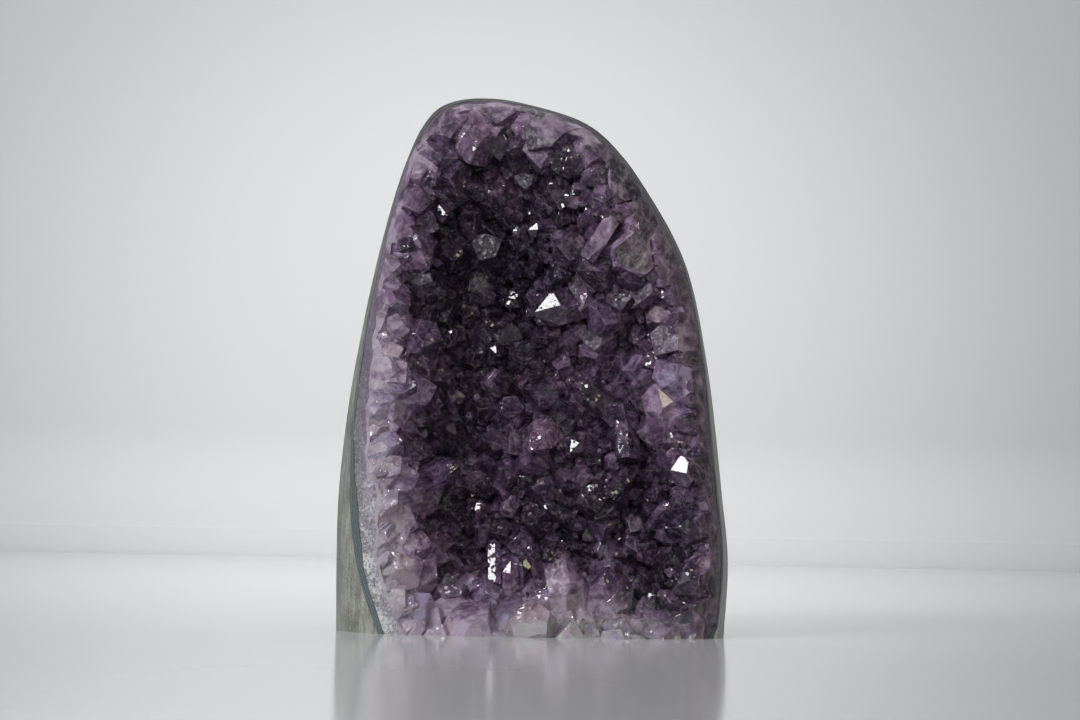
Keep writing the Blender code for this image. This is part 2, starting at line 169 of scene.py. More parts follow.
# Crystals with a face that mirrors a lamp: (x, z) of the head and radius in mm, how far it stands out of the
# crust in mm, which way its tip points in the front view, whether the face is an end or a side, how far it is
# pushed out, in radii, its roughness, and the lamp. A face that is pushed further out is smaller.
GLINTS = (
    (4.0, 78, 5.2, 3, 215, "end", 0.12, 0.05, "window"),
    (18.5, 99.5, 2.3, 8, 60, "side", 0.0, 0.10, "window"),
    (13.5, 56.6, 3.4, 6, 150, "end", 0.02, 0.13, "window"),
    (1.0, 43, 3.6, 7, 250, "end", -0.05, 0.09, "window"),
    (10.5, 42, 2.6, 4, 250, "end", 0.05, 0.05, "window"),
    (39.5, 36.2, 4.4, 6, 330, "end", -0.12, 0.03, "window"),
    (32.5, 55, 4.4, 7, 120, "end", 0.08, 0.04, "shade"),
    (26, 36.5, 2.2, 5, 45, "side", 0.0, 0.08, "shade"),
    (24, 50, 3.2, 5, 100, "side", 0.0, 0.16, "window"),
    (-10, 16.0, 1.9, 6.5, 98, "side", 0.0, 0.055, "window"),
    (-6.5, 79.5, 2.6, 3, 240, "end", 0.0, 0.07, "window"),
    (-10.5, 66.5, 2.1, 4, 300, "end", 0.05, 0.05, "window"),
    (33.5, 27, 2.2, 6, 40, "end", -0.05, 0.06, "window"),
    (-0.2, 14.5, 1.8, 6, 100, "end", 0.05, 0.08, "window"),
    (-1.2, 12, 2.2, 6, 60, "end", -0.1, 0.03, "shade"),
    (-5.6, 9.8, 2.2, 6, 80, "end", -0.1, 0.05, "window"),
    (-23.5, 34, 3.4, 7, 20, "end", -0.1, 0.07, "shade"),
    (-14, 26, 1.9, 4, 90, "end", 0.0, 0.06, "window"),
    (3.5, 26.5, 2.2, 4, 160, "end", 0.05, 0.12, "window"),
    (-24, 101, 2.3, 6, 330, "end", 0.0, 0.05, "window"),
    (-1, 98, 2.2, 4, 200, "end", 0.1, 0.04, "window"),
    (12, 73, 2.2, 4, 20, "end", 0.1, 0.05, "window"),
)
# Rows of crystals along the rim that point inwards: their spacing along it, radius and spread, their lengths
# in radii, and how far their roots stand in from the quartz and behind the ground outside. All but the spread
# and the lengths in mm.
RIM_ROWS = (
    (8.8, 5.0, 0.16, (1.4, 2.0), -1.0, 0.0),
    (8.2, 4.4, 0.18, (1.6, 2.3), 1.0, 2.4),
    (7.2, 3.8, 0.20, (1.8, 2.6), 2.0, 6.5),
    (6.0, 2.6, 0.25, (1.6, 2.6), 0.0, 0.6),
)
# Rows of smaller ones, on the left only: the turns, in degrees, that they lie between.
SMALL_RIM_ROWS = (
    (3.6, 2.2, 0.28, (1.5, 2.5), 0.2, 0.0),
    (3.3, 1.7, 0.30, (1.5, 2.5), 2.2, 0.4),
)
SMALL_ROWS_BETWEEN = (150, 300)
# In a row, a crystal strays by up to ROW_JITTER of the spacing, and its way by ROW_LEAN_SPREAD. All point
# forwards by RIM_FORWARDNESS, and those with a root lower than LOWEST_ROOT are left out.
ROW_JITTER = 0.3
ROW_LEAN_SPREAD = 0.3
RIM_FORWARDNESS = 0.25
LOWEST_ROOT = -1.5 * MM
# Crystals stay behind the ground outside: roots and heads by a share of the radius, tips by another, and all
# by some way between the two of LOOSE. Above HIGHEST_GROUND the ground there is taken as upright.
HEAD_CLEARANCE = 0.72
TIP_CLEARANCE = 0.1
LOOSE = (-0.8 * MM, 2.2 * MM)
HIGHEST_GROUND = 0.97 * HEIGHT
# About how far forward the heads of the glinting crystals are.
GLINT_FORWARD = -15 * MM
SEED = 7
# The crystals between them, crop by crop: how many, radius in mm with its spread and limits, their lengths in
# radii, how high above the crust their roots may sit, in mm, and how far out they reach.
CROPS = (
    (340, 3.4, 0.24, (2.2, 5.4), (1.4, 2.1), 0.0, 1.02),
    (620, 2.0, 0.30, (1.1, 3.0), (1.2, 2.2), 2.2, 0.965),
    (880, 1.0, 0.30, (0.5, 1.6), (1.2, 2.4), 4.2, 0.93),
)
# They grow by a share towards the rim, and lean at random. Each takes the freest of so many candidate places.
LARGER_AT_RIM = 0.3
LEAN_SPREAD = 0.42
CANDIDATES = 14
# The edges of all crystals over this radius are worn, over this width.
WORN_FROM = 2.3 * MM
WORN_WIDTH = 0.13 * MM
# Shine of the faces, as roughness: mirror-bright ones, which are a share of all, the etched rest, large ones
# that would mirror a lamp by chance, within an angle, and the ground rim.
BRIGHT_FACE = 0.03
BRIGHT_SHARE = 0.13
ETCHED_FACE = (0.05, 0.24)
MIRROR_BY_CHANCE = 0.42
CHANCE_ANGLE = math.radians(11)
GROUND_RIM = 0.40

# Where the ground surface is broken: a chip at the foot's right corner and pits along the right edge, each
# (x, y, z, radius) in mm. They are rough balls, cut out of all the bands.
CHIP = (42.4, -18, 2, 3.6)
PITS = ((39.0, -9, 71.5, 1.3), (40.7, -11, 61.8, 1.5), (39.9, -10, 66.5, 0.8), (43.5, -12, 38.9, 1.6),
        (43.9, -13, 35.5, 1.0), (35.5, -8, 84.0, 1.1), (44.6, -15, 27.0, 0.9), (45.4, -17, 14.0, 1.2),
        (43.0, -11, 44.5, 0.8), (30.5, -8, 95.5, 0.9))

# How finely the surfaces are drawn, and where they end: the outside near the top, at a crown of TOP_CROWN,
# and the hollow's faces past their rim and near their middle, at these reaches. A tool that cuts the hollow
# out comes from FAR_FRONT.
TURNS = 220
HEIGHTS = 130
TOP_CROWN = 0.03
BOWL_TURNS = 250
BOWL_RINGS = 50
PAST_RIM = 1.15
NEAR_MIDDLE = 0.01
FAR_FRONT = -90 * MM
# Shading is smooth where faces meet by less than this: on the bands, and on the crystals.
BAND_EDGE = 30
CRYSTAL_EDGE = 12

# Patches where the violet is deeper, or paler below 0: by how much, (x, z), half width and half height in mm.
# The first, over the deep recess at (-9, 88), is partly darker crystals and partly painted shade of the
# recess.
VIOLET_AND_SHADE_PATCHES = (
    (0.45, -9, 88, 13, 26), (0.20, -20, 42, 7, 20), (-0.17, 6, 52, 17, 17), (-0.30, 18, 89, 11, 14),
    (-0.24, 31, 62, 9, 22), (-0.50, -33, 24, 10, 28), (-1.0, 12, 3, 14, 11), (-0.70, -18, 2, 20, 10),
    (-0.20, -36, 62, 7, 18), (-0.20, 36, 18, 8, 18), (0.45, 30, 9, 9, 8), (0.18, 22, 106, 10, 9),
    (0.12, -14, 118, 14, 8), (0.14, 42, 45, 7, 36), (0.14, 20, 27, 14, 12),
)
# Patches where the crystals turn to white quartz, in the same way.
WHITE_PATCHES = ((1.0, 8, -1, 17, 7), (0.9, -35, 6, 6, 12), (0.35, 20, 0, 30, 4), (0.5, -38, 32, 5, 26))
# Violet from the rim inwards: its depth at the rim and inside, and over which way in, in mm. The rim is paler
# towards PALE_WAY, in degrees.
RIM_VIOLET = 0.42
INNER_VIOLET = 0.78
VIOLET_FROM = 5
VIOLET_OVER = 15
# Limits of how dark the violet is: the upper one, past 1, lets the recess go darkest, as painted shade.
VIOLET_LIMITS = (-0.3, 1.25)
PALE_WAY = 200
# The rim's mean radius, which turns an angle into a way along it.
RIM_MEAN = 50 * MM

# Colours along a value from 0 to 1, as (position, colour), and single colours.
VIOLETS = ((0.0, (0.92, 0.74, 0.97)), (0.20, (0.52, 0.325, 0.56)), (0.45, (0.232, 0.130, 0.262)),
           (0.72, (0.115, 0.062, 0.138)), (1.0, (0.036, 0.021, 0.048)))
QUARTZ_GREYS = ((0.0, (0.070, 0.065, 0.070)), (0.35, (0.095, 0.090, 0.096)), (0.75, (0.150, 0.148, 0.154)),
                (1.0, (0.40, 0.40, 0.415)))
QUARTZ_VIOLETS = ((0.0, (0.08, 0.056, 0.088)), (0.5, (0.135, 0.100, 0.148)), (1.0, (0.32, 0.28, 0.345)))
AGATE_BLUES = ((0.0, (0.030, 0.038, 0.040)), (0.5, (0.066, 0.082, 0.086)), (1.0, (0.16, 0.185, 0.19)))
GROUND_BASALT = ((0.30, (0.050, 0.052, 0.045)), (0.5, (0.150, 0.156, 0.135)), (0.72, (0.28, 0.285, 0.25)))
BROKEN_BASALT = ((0.3, (0.045, 0.042, 0.035)), (0.5, (0.130, 0.122, 0.104)), (0.72, (0.26, 0.245, 0.21)))
BLUER = (0.62, 0.68, 0.90)
REDDER = (1.0, 0.80, 0.66)
# Pale veils in the amethyst, with thin lines that are partly painted sparkle.
VEIL_AND_SPARKLE = (0.68, 0.54, 0.69)
CUT_SEAM = (0.62, 0.54, 0.60)
WHITE_QUARTZ = (0.80, 0.80, 0.80)
# Pale worn edges: partly real wear, partly a painted highlight of edges that catch the light.
WORN_EDGE_AND_HIGHLIGHT = (0.60, 0.50, 0.60)
IRON_STAIN = (0.74, 0.68, 0.60)
INSIDE_VIOLET = (0.70, 0.50, 0.71)
QUARTZ_SEAM = (0.60, 0.58, 0.60)
PAINTED_SHEEN_GREY = (0.46, 0.46, 0.43)
# A paler grey, painted along the lower right edge as a sheen of grazing light.
DARK_TOP = (0.30, 0.32, 0.27)
RUST_SPECK = (0.16, 0.08, 0.065)
# The table's pale paint, and the grey of painted shade that it fades to away from its middle.
PALE_PAINT = (0.50, 0.505, 0.51)
PAINTED_FALLOFF_GREY = (0.31, 0.315, 0.32)
# The middle of a texture's colour, which makes its values run both ways from 0.
MIDDLE_GREY = (0.5, 0.5, 0.5)

# What quartz refracts and how strongly amethyst absorbs, for each metre.
QUARTZ_IOR = 1.545
AMETHYST_DENSITY = 80.0
# One agate line and the next lie this far apart.
AGATE_LINES = 0.5712 * MM

# The camera.
EYE = (0.0, -0.875, 0.042)
LOOKS_AT = (0.0009, -0.005, 0.0638)
ROLL = math.radians(1.1)
LENS_MM = 124
SENSOR_MM = 36

# The lamps that the crystals mirror, and all lamps: name, place, what they aim at, width, height, watts,
# colour and whether anything mirrors them. The shade lights the amethyst alone.
WINDOW = (-0.62, -0.72, 0.62)
SHADE = (0.60, -0.62, 0.42)
MIRRORED_LAMPS = {"window": WINDOW, "shade": SHADE}
MIDDLE = (0, 0, 0.06)
LAMPS = (
    ("window", WINDOW, MIDDLE, 0.30, 0.42, 9.0, (0.97, 0.985, 1.0), True),
    ("front_fill", (0.15, -1.7, 0.55), MIDDLE, 1.3, 0.9, 13.0, (1.0, 0.99, 0.97), False),
    ("left_fill", (-1.2, -0.35, 0.45), MIDDLE, 0.7, 0.7, 5.0, (1.0, 1.0, 1.0), False),
    ("back_fill", (0.5, 0.45, 1.1), MIDDLE, 0.6, 0.6, 3.0, (1.0, 1.0, 1.0), False),
    ("shade", SHADE, MIDDLE, 0.22, 0.22, 1.2, (0.80, 0.78, 0.44), True),
    ("wall_wash", (-0.02, 0.20, 0.42), (-0.02, 0.62, 0.05), 0.16, 0.10, 1.6, (1.0, 1.0, 1.0), False),
)
# The room's light, and how strongly it is mirrored.
ROOM_COLOUR = (0.96, 0.98, 1.0)
ROOM_LIGHTS = 0.30
ROOM_MIRRORED = 0.10

# The table and the wall behind it, one sheet: how far it comes forward, where the wall stands, how far it
# reaches to each side and rises, and the radius of the bend between the two.
TABLE_FORWARD = -1.6
WALL_BEHIND = 0.62
SHEET_HALF = 2.2
SHEET_TOP = 1.6
BEND = 0.05
BEND_STEPS = 24


# --------------------------------------------------------------------------------------------- smooth shapes

def through(knots, values, at):
    """Smooth curve through the knots: cubic pieces that meet with the slope of their neighbours."""
    slopes = np.gradient(values, knots)
    piece = np.clip(np.searchsorted(knots, at) - 1, 0, len(knots) - 2)
    width = knots[piece + 1] - knots[piece]
    t = (at - knots[piece]) / width
    return (values[piece] * (1 + 2 * t) * (1 - t) ** 2
            + values[piece + 1] * t ** 2 * (3 - 2 * t)
            + width * t * (1 - t) * (slopes[piece] * (1 - t) - slopes[piece + 1] * t))


def side(points, crown):
    """A side of the stone at crown = sqrt(1 - z / height), which is 1 at the foot and 0 at the top."""
    heights, places = np.array(points[::-1], float).T * MM
    return through(np.sqrt(1 - heights / HEIGHT), places, crown)


def all_round(angles, values, turn):
    """Smooth curve through values that repeat with every full turn."""
    knots = np.concatenate([angles - 2 * math.pi, angles, angles + 2 * math.pi])
    return through(knots, np.tile(values, 3), turn)


def knobs(points):
    """Slow lumps of rough rock, from -1 to 1: the mean of three plane waves that cross."""
    waves = np.array(((0.9, 0.3, 0.5), (-0.5, 0.4, 0.9), (0.3, -0.8, 0.6))) * 2 * math.pi / KNOB_PITCH
    return np.sin(points @ waves.T + np.array((0.3, 1.9, 4.1))).mean(axis=-1)


def scatter(cells, seed):
    """A random number from 0 to 1 for each whole-numbered cell: the fraction of a large sine of its place."""
    mixed = cells @ np.array((12.9898, 78.233, 37.719)) + seed * 17.31
    return np.modf(np.abs(np.sin(mixed) * 43758.5453))[0]


def cloud(points, pitch, seed):
    """Smooth noise from -1 to 1: random numbers at the corners of a cubic lattice, eased between them."""
    place = points / pitch
    cell = np.floor(place)
    ease = place - cell
    ease = ease * ease * (3 - 2 * ease)
    total = np.zeros(points.shape[:-1])
    for corner in np.ndindex(2, 2, 2):
        corner = np.array(corner)
        weight = np.where(corner, ease, 1 - ease).prod(axis=-1)
        total += weight * scatter(cell + corner, seed)
    return 2 * total - 1


def outside(crown, turn):
    """The stone's ground outside: at each height a squared oval, x and y to the powers of two squarenesses.

    Knobs on the back fade out towards the sides and the top. Returns the points and how far each lies towards
    the back, from 0 to 1.
    """
    left, right, front, back = (side(s, crown) for s in (LEFT_SIDE, RIGHT_SIDE, FRONT_SIDE, BACK_SIDE))
    squareness = np.where(np.sin(turn) < 0, FRONT_SQUARENESS, BACK_SQUARENESS)
    across = np.sign(np.cos(turn)) * np.abs(np.cos(turn)) ** (2 / squareness)
    along = np.sign(np.sin(turn)) * np.abs(np.sin(turn)) ** (2 / squareness)
    x = (left + right) / 2 + (right - left) / 2 * across
    y = (front + back) / 2 + (back - front) / 2 * along
    z = HEIGHT * (1 - crown ** 2) + 0 * turn
    points = np.stack((x, y, z), axis=-1)
    backness = np.clip(along - GROUND_SHARE, 0, 1)
    points[..., 1] -= KNOB_HEIGHT * backness * (1 + knobs(points)) * np.minimum(1, 4 * crown)
    return points, backness


def ground_front(x, z):
    """How far back the ground outside lies at (x, z) of the front view, from the same squared ovals."""
    crown = np.sqrt(np.clip(1 - z / HEIGHT, 0, 1))
    left, right, front, back = (side(s, crown) for s in (LEFT_SIDE, RIGHT_SIDE, FRONT_SIDE, BACK_SIDE))
    across = np.clip(np.abs(2 * x - left - right) / (right - left), 0, 1)
    bulge = (1 - across ** FRONT_SQUARENESS) ** (1 / FRONT_SQUARENESS)
    return (front + back) / 2 - (back - front) / 2 * bulge


def rim_radius(turn):
    """How far the bowl's rim lies from its centre, at each angle in the front view."""
    x, z = np.array(RIM).T * MM
    angles = np.unwrap(np.arctan2(z - BOWL_CENTRE[1], x - BOWL_CENTRE[0]))
    return all_round(angles, np.hypot(x - BOWL_CENTRE[0], z - BOWL_CENTRE[1]), turn)


def bowl(turn, reach, inset=0.0):
    """A face of the hollow: nearly flat at reach 0 and steep at its rim, reach 1, by a power of the reach."""
    radius = (rim_radius(turn) - inset) * reach
    x = BOWL_CENTRE[0] + radius * np.cos(turn)
    z = BOWL_CENTRE[1] + radius * np.sin(turn)
    floor = BOWL_FLOOR - FLOOR_LEAN * z - inset
    rim = RIM_FORWARD + RIM_LEANS_BACK * (z / HEIGHT) ** 3
    y = floor + (rim - floor) * reach ** WALL_POWER
    for swell_x, swell_z, height, spread in SWELLS:
        far = np.hypot(x - swell_x * MM, z - swell_z * MM) / (spread * MM)
        y = y - height * MM * np.exp(-far ** 2)
    return np.stack((x, y, z), axis=-1)


def band(on_floor, at_rim, turn, reach):
    """Thickness of a band: it changes with the reach squared, from on_floor in the middle to at_rim."""
    angles, widths = np.array(at_rim).T
    wide = all_round(np.radians(angles), widths, turn)
    return (on_floor + (wide - on_floor) * np.minimum(reach, 1) ** 2) * MM


def wander(turn, reach, seed):
    """How far a band's inner face strays, from -1 to 1: smooth noise over the bowl, strongest at its rim."""
    return cloud(bowl(turn, reach), WANDER_PITCH, seed) * np.minimum(reach, 1) ** 2


def agate_face(turn, reach, lift=0.0):
    """The agate's inner face: the bowl, moved inwards by the band's thickness."""
    thickness = band(AGATE_ON_FLOOR, AGATE_AT_RIM, turn, reach) + AGATE_WANDER * wander(turn, reach, 21)
    return bowl(turn, reach, thickness + lift)


def quartz_face(turn, reach, lift=0.0):
    """The quartz's inner face: the agate's, moved inwards by the next band's thickness."""
    thickness = band(QUARTZ_ON_FLOOR, QUARTZ_AT_RIM, turn, reach) + QUARTZ_WANDER * wander(turn, reach, 22)
    return agate_face(turn, reach, thickness + lift)


def crust_face(turn, reach, lift=0.0):
    """The face that the crystals stand on: the quartz's, moved inwards by the thickness of the crust."""
    angles, widths = np.array(CRUST_AT_RIM).T
    wide = all_round(np.radians(angles), widths * MM, turn)
    crust = CRUST_ON_FLOOR + (wide - CRUST_ON_FLOOR) * np.minimum(reach, 1) ** WALL_POWER
    return quartz_face(turn, reach, crust + lift)


def into_hollow(turn, reach):
    """Unit normals of the crust's face, pointing into the hollow."""
    step = 1e-3
    along = crust_face(turn + step, reach) - crust_face(turn - step, reach)
    out = crust_face(turn, reach + step) - crust_face(turn, reach - step)
    return unit(np.cross(out, along))


# ------------------------------------------------------------------------------------------------ mesh tools

def new_object(name, data):
    obj = bpy.data.objects.new(name, data)
    bpy.context.scene.collection.objects.link(obj)
    return obj


def new_collection(name):
    collection = bpy.data.collections.new(name)
    bpy.context.scene.collection.children.link(collection)
    return collection


@contextmanager
def editing(mesh):
    """A mesh as an editable shape, which is written back when the work on it ends."""
    shape = bmesh.new()
    shape.from_mesh(mesh)
    yield shape
    shape.to_mesh(mesh)
    shape.free()


def loft(name, rings):
    """A closed surface over a grid of points: rings one after another, with a cap on the first and last."""
    count, around = rings.shape[:2]
    corner = np.arange(count * around).reshape(count, around)
    beside = np.roll(corner, -1, axis=1)
    lower = np.stack((corner[:-1], beside[:-1], beside[1:]), axis=-1).reshape(-1, 3)
    upper = np.stack((corner[:-1], beside[1:], corner[1:]), axis=-1).reshape(-1, 3)
    faces = lower.tolist() + upper.tolist() + [corner[0, ::-1].tolist(), corner[-1].tolist()]
    mesh = bpy.data.meshes.new(name)
    mesh.from_pydata(rings.reshape(-1, 3).tolist(), [], faces)
    with editing(mesh) as shell:
        bmesh.ops.recalc_face_normals(shell, faces=shell.faces)
        if shell.calc_volume(signed=True) < 0:
            bmesh.ops.reverse_faces(shell, faces=shell.faces)
    return new_object(name, mesh)


def hollow(name, face, lift=0.0):
    """All that lies in front of a face of the hollow, as a closed surface. Lift moves the face forward.

    The front end moves too, so that no two of them share a plane.
    """
    turn = np.linspace(0, 2 * math.pi, BOWL_TURNS, endpoint=False)[None, :]
    reach = np.linspace(PAST_RIM, NEAR_MIDDLE, BOWL_RINGS)[:, None]
    turn, reach = np.broadcast_arrays(turn, reach)
    rings = face(turn, reach, lift)
    front = rings[:1].copy()
    front[..., 1] = FAR_FRONT - 4 * lift
    return loft(name, np.concatenate((front, rings)))


def rough_ball(name, x, y, z, radius):
    """A ball with a broken surface: its radius grows and shrinks by a third with a noise of half its size."""
    mesh = bpy.data.meshes.new(name)
    with editing(mesh) as shape:
        bmesh.ops.create_icosphere(shape, subdivisions=4, radius=1)
    out = point_places(mesh)
    centre = np.array((x, y, z)) * MM
    places = centre + out * radius * MM * (1 + 0.33 * cloud(out + centre / MM, 0.5, 5))[:, None]
    mesh.vertices.foreach_set("co", places.ravel())
    mark_faces(mesh, ground=0)
    return new_object(name, mesh)


def point_places(mesh):
    places = np.empty(len(mesh.vertices) * 3)
    mesh.vertices.foreach_get("co", places)
    return places.reshape(-1, 3)


def carve(obj, *steps):
    """Carries out Boolean steps, each an operation and what it is done with, and keeps the main body."""
    for operation, other in steps:
        modifier = obj.modifiers.new(operation.lower(), "BOOLEAN")
        modifier.operation = operation
        modifier.solver = "MANIFOLD"
        if isinstance(other, bpy.types.Collection):
            modifier.operand_type = "COLLECTION"
            modifier.collection = other
        else:
            modifier.object = other
    bpy.context.view_layer.update()
    evaluated = obj.evaluated_get(bpy.context.evaluated_depsgraph_get())
    mesh = bpy.data.meshes.new_from_object(evaluated)
    obj.modifiers.clear()
    obj.data = mesh
    keep_main_body(mesh)


def keep_main_body(mesh):
    """Drops what isn't joined to the largest body: each vertex takes the lowest number it is linked to."""
    count = len(mesh.vertices)
    ends = np.empty(len(mesh.edges) * 2, np.int32)
    mesh.edges.foreach_get("vertices", ends)
    one, other = ends.reshape(-1, 2).T
    group = np.arange(count)
    while True:
        lowest = group.copy()
        np.minimum.at(lowest, one, group[other])
        np.minimum.at(lowest, other, group[one])
        lowest = lowest[lowest]
        if (lowest == group).all():
            break
        group = lowest
    main = np.bincount(group).argmax()
    with editing(mesh) as shape:
        shape.verts.ensure_lookup_table()
        loose = [shape.verts[i] for i in np.flatnonzero(group != main)]
        bmesh.ops.delete(shape, geom=loose, context="VERTS")


def soften(obj, degrees):
    """Smooth shading, except where two faces meet more sharply than this."""
    obj.data.shade_smooth()
    obj.data.set_sharp_from_angle(angle=math.radians(degrees))


# -------------------------------------------------------------------------------------------------- crystals

def unit(vectors):
    return vectors / np.linalg.norm(vectors, axis=-1, keepdims=True)


def crystal_planes(radii, lengths, glint_push, rng):
    """The thirteen faces of each crystal, as outward normals and their distances from the middle of its root.

    Six sides stand round its length, at radius times cos 30. Six end faces lean by FACE_LEAN over the sides
    and meet the length at its tip. Every second end face is pushed outwards, which makes it a small one.
    The thirteenth face closes the root.
    """
    count = len(radii)
    angle = np.radians(30 + 60 * np.arange(6))
    sides = np.stack((np.cos(angle), np.sin(angle), 0 * angle), axis=-1)
    ends = np.stack((np.cos(angle) * math.sin(FACE_LEAN), np.sin(angle) * math.sin(FACE_LEAN),
                     np.full(6, math.cos(FACE_LEAN))), axis=-1)
    normals = np.concatenate((sides, ends, ((0, 0, -1),)))
    push = rng.uniform(-END_JITTER, END_JITTER, (count, 6))
    push += rng.uniform(*SMALL_END, (count, 6)) * (np.arange(6) % 2)
    push[:, 1] = np.where(np.isnan(glint_push), push[:, 1], glint_push)
    side_places = radii[:, None] * math.cos(math.radians(30)) * rng.uniform(*SIDE_SHARE, (count, 6))
    end_places = (lengths[:, None] + radii[:, None] * push) * math.cos(FACE_LEAN)
    return normals, np.concatenate((side_places, end_places, np.full((count, 1), ROOT_LENGTH)), axis=1)


def crystal_corners(normals, places):
    """Where three faces meet and none of the others cuts the corner off. Returns points, triples and a mask.

    The corner of planes a, b, c is (pa b x c + pb c x a + pc a x b) / (a . b x c).
    """
    triples = np.array(list(combinations(range(len(normals)), 3)))
    a, b, c = normals[triples.T]
    volume = np.einsum("ij,ij->i", a, np.cross(b, c))
    meet = np.abs(volume) > 1e-6
    triples, a, b, c, volume = (values[meet] for values in (triples, a, b, c, volume))
    pa, pb, pc = (places[:, triples[:, k], None] for k in range(3))
    corners = (pa * np.cross(b, c) + pb * np.cross(c, a) + pc * np.cross(a, b)) / volume[:, None]
    kept = (corners @ normals.T <= places[:, None, :] + 1e-9).all(axis=-1)
    return corners, triples, kept


def crystal_faces(normals, triples, kept, corners):
    """One crystal's faces: each is the ring of corners on its plane, in order of their angle round it.

    Returns the corners that it uses, its faces, and the number of each face's plane.
    """
    used = np.flatnonzero(kept)
    faces, planes = [], []
    for k, normal in enumerate(normals):
        ring = np.flatnonzero((triples[used] == k).any(axis=1))
        if len(ring) < 3:
            continue
        first = unit(np.cross(normal, (0.31, 0.52, 0.79)))
        second = np.cross(normal, first)
        spokes = corners[used[ring]] - corners[used[ring]].mean(axis=0)
        faces.append(ring[np.arctan2(spokes @ second, spokes @ first).argsort()].tolist())
        planes.append(k)
    return used, faces, planes


def crystal_frames(ways, towards, rng):
    """Turns each crystal's length to its way, with a random twist or, for a glint, one that aims a face."""
    helper = np.where(np.abs(ways[:, 2:]) < 0.8, (0, 0, 1), (1, 0, 0))
    first = unit(np.cross(helper, ways))
    second = np.cross(ways, first)
    twist = rng.uniform(0, 2 * math.pi, len(ways))
    along_second, along_first = (second * towards).sum(axis=1), (first * towards).sum(axis=1)
    aim = np.arctan2(along_second, along_first) - math.radians(90)
    twist = np.where(np.isnan(aim), twist, aim)[:, None]
    turned = np.cos(twist) * first + np.sin(twist) * second
    return np.stack((turned, np.cross(ways, turned), ways), axis=-1)


def crystal_sites(count, furthest, taken, rng):
    """(turn, reach) of more crystals: each is the candidate that lies furthest from all before it."""
    turns = rng.uniform(0, 2 * math.pi, (count, CANDIDATES))
    reaches = furthest * np.sqrt(rng.uniform(0, 1, (count, CANDIDATES)))
    places = crust_face(turns, reaches)
    chosen = []
    for turn, reach, place in zip(turns, reaches, places):
        clear = np.linalg.norm(place[:, None] - taken[None], axis=-1).min(axis=1)
        best = int(clear.argmax())
        chosen.append((turn[best], reach[best]))
        taken = np.vstack((taken, place[best]))
    return *np.array(chosen).T, taken


def front_view_site(x, z):
    """(turn, reach) of the bowl's point at (x, z) in the front view."""
    turn = np.arctan2(z - BOWL_CENTRE[1], x - BOWL_CENTRE[0]) % (2 * math.pi)
    return turn, np.hypot(x - BOWL_CENTRE[0], z - BOWL_CENTRE[1]) / rim_radius(turn)


def rim_row(row, rng, first_turn=-30, last_turn=390):
    """Crystals that lie along the rim and point into the hollow, at even angles with some jitter.

    Only those between the first and the last turn, in degrees, are kept.
    """
    spacing, radius, spread, lengthening, inset, behind = row
    around = 2 * math.pi * rim_radius(np.linspace(0, 2 * math.pi, 60)).mean()
    count = int(around / (spacing * MM))
    turns = (np.arange(count) + rng.uniform(-ROW_JITTER, ROW_JITTER, count)) * 2 * math.pi / count
    radii = rng.lognormal(math.log(radius), spread, count) * MM
    lengths = radii * rng.uniform(*lengthening, count)
    edge = quartz_face(turns, np.ones(count), inset * MM)
    depth = ground_front(edge[:, 0], edge[:, 2]) + behind * MM + radii
    roots = np.stack((edge[:, 0], depth, edge[:, 2]), axis=-1)
    ways = np.stack((-np.cos(turns), np.full(count, -RIM_FORWARDNESS), -np.sin(turns)), axis=-1)
    ways = unit(ways + rng.uniform(-ROW_LEAN_SPREAD, ROW_LEAN_SPREAD, ways.shape))
    between = (turns > math.radians(first_turn)) & (turns < math.radians(last_turn))
    kept = between & (roots[:, 2] > LOWEST_ROOT)
    roots, ways, radii, lengths = roots[kept], ways[kept], radii[kept], lengths[kept]
    return behind_ground(roots, ways, radii, lengths, rng), ways, radii, lengths, *no_glints(len(radii))


def standing_crystals(x, z, ways, radii, standing):
    """Roots and lengths of crystals whose heads are seen at (x, z)."""
    lengths = LARGE_LENGTH * radii
    root_x = x - ways[:, 0] * lengths * HEAD_PLACE
    root_z = z - ways[:, 2] * lengths * HEAD_PLACE
    roots = crust_face(*front_view_site(root_x, root_z))
    roots[:, 1] -= standing
    return roots, lengths


def large_crystals():
    """The crystals of LARGE_CRYSTALS, in the form that crystal_list gives."""
    x, z, radii, standing = np.array([(*entry[:3], entry[4]) for entry in LARGE_CRYSTALS]).T * MM
    ways = unit(np.array([entry[3] for entry in LARGE_CRYSTALS]))
    roots, lengths = standing_crystals(x, z, ways, radii, standing)
    return roots, ways, radii, lengths, *no_glints(len(radii))


def no_glints(count):
    """Push and roughness of a glinting face, and the way that it faces, for crystals that don't glint."""
    return np.full(count, np.nan), np.full(count, np.nan), np.full((count, 3), np.nan)


def halfway(places, lamp):
    """The way that a face at a place looks if it mirrors a lamp towards the eye."""
    return unit(unit(np.array(EYE) - places) + unit(lamp - places))


def glinting_crystals():
    """The crystals of GLINTS. A face mirrors its lamp when it faces halfway between the lamp and the eye.

    The crystal's length lies at a right angle to that way for a side, and at FACE_LEAN from it for an end.
    """
    x, z, radii, standing = np.array([entry[:4] for entry in GLINTS]).T * MM
    heads = np.stack((x, np.full(len(x), GLINT_FORWARD), z), axis=-1)
    towards = halfway(heads, np.array([MIRRORED_LAMPS[entry[8]] for entry in GLINTS]))
    clock = np.radians([entry[4] for entry in GLINTS])[:, None]
    right = unit(np.cross((0, 0, 1), towards))
    up = np.cross(towards, right)
    lean = np.array([FACE_LEAN if entry[5] == "end" else math.pi / 2 for entry in GLINTS])[:, None]
    ways = np.cos(lean) * towards + np.sin(lean) * (np.cos(clock) * right + np.sin(clock) * up)
    roots, lengths = standing_crystals(x, z, ways, radii, standing)
    glint_push, roughness = np.array([entry[6:8] for entry in GLINTS]).T
    return roots, ways, radii, lengths, glint_push, roughness, towards


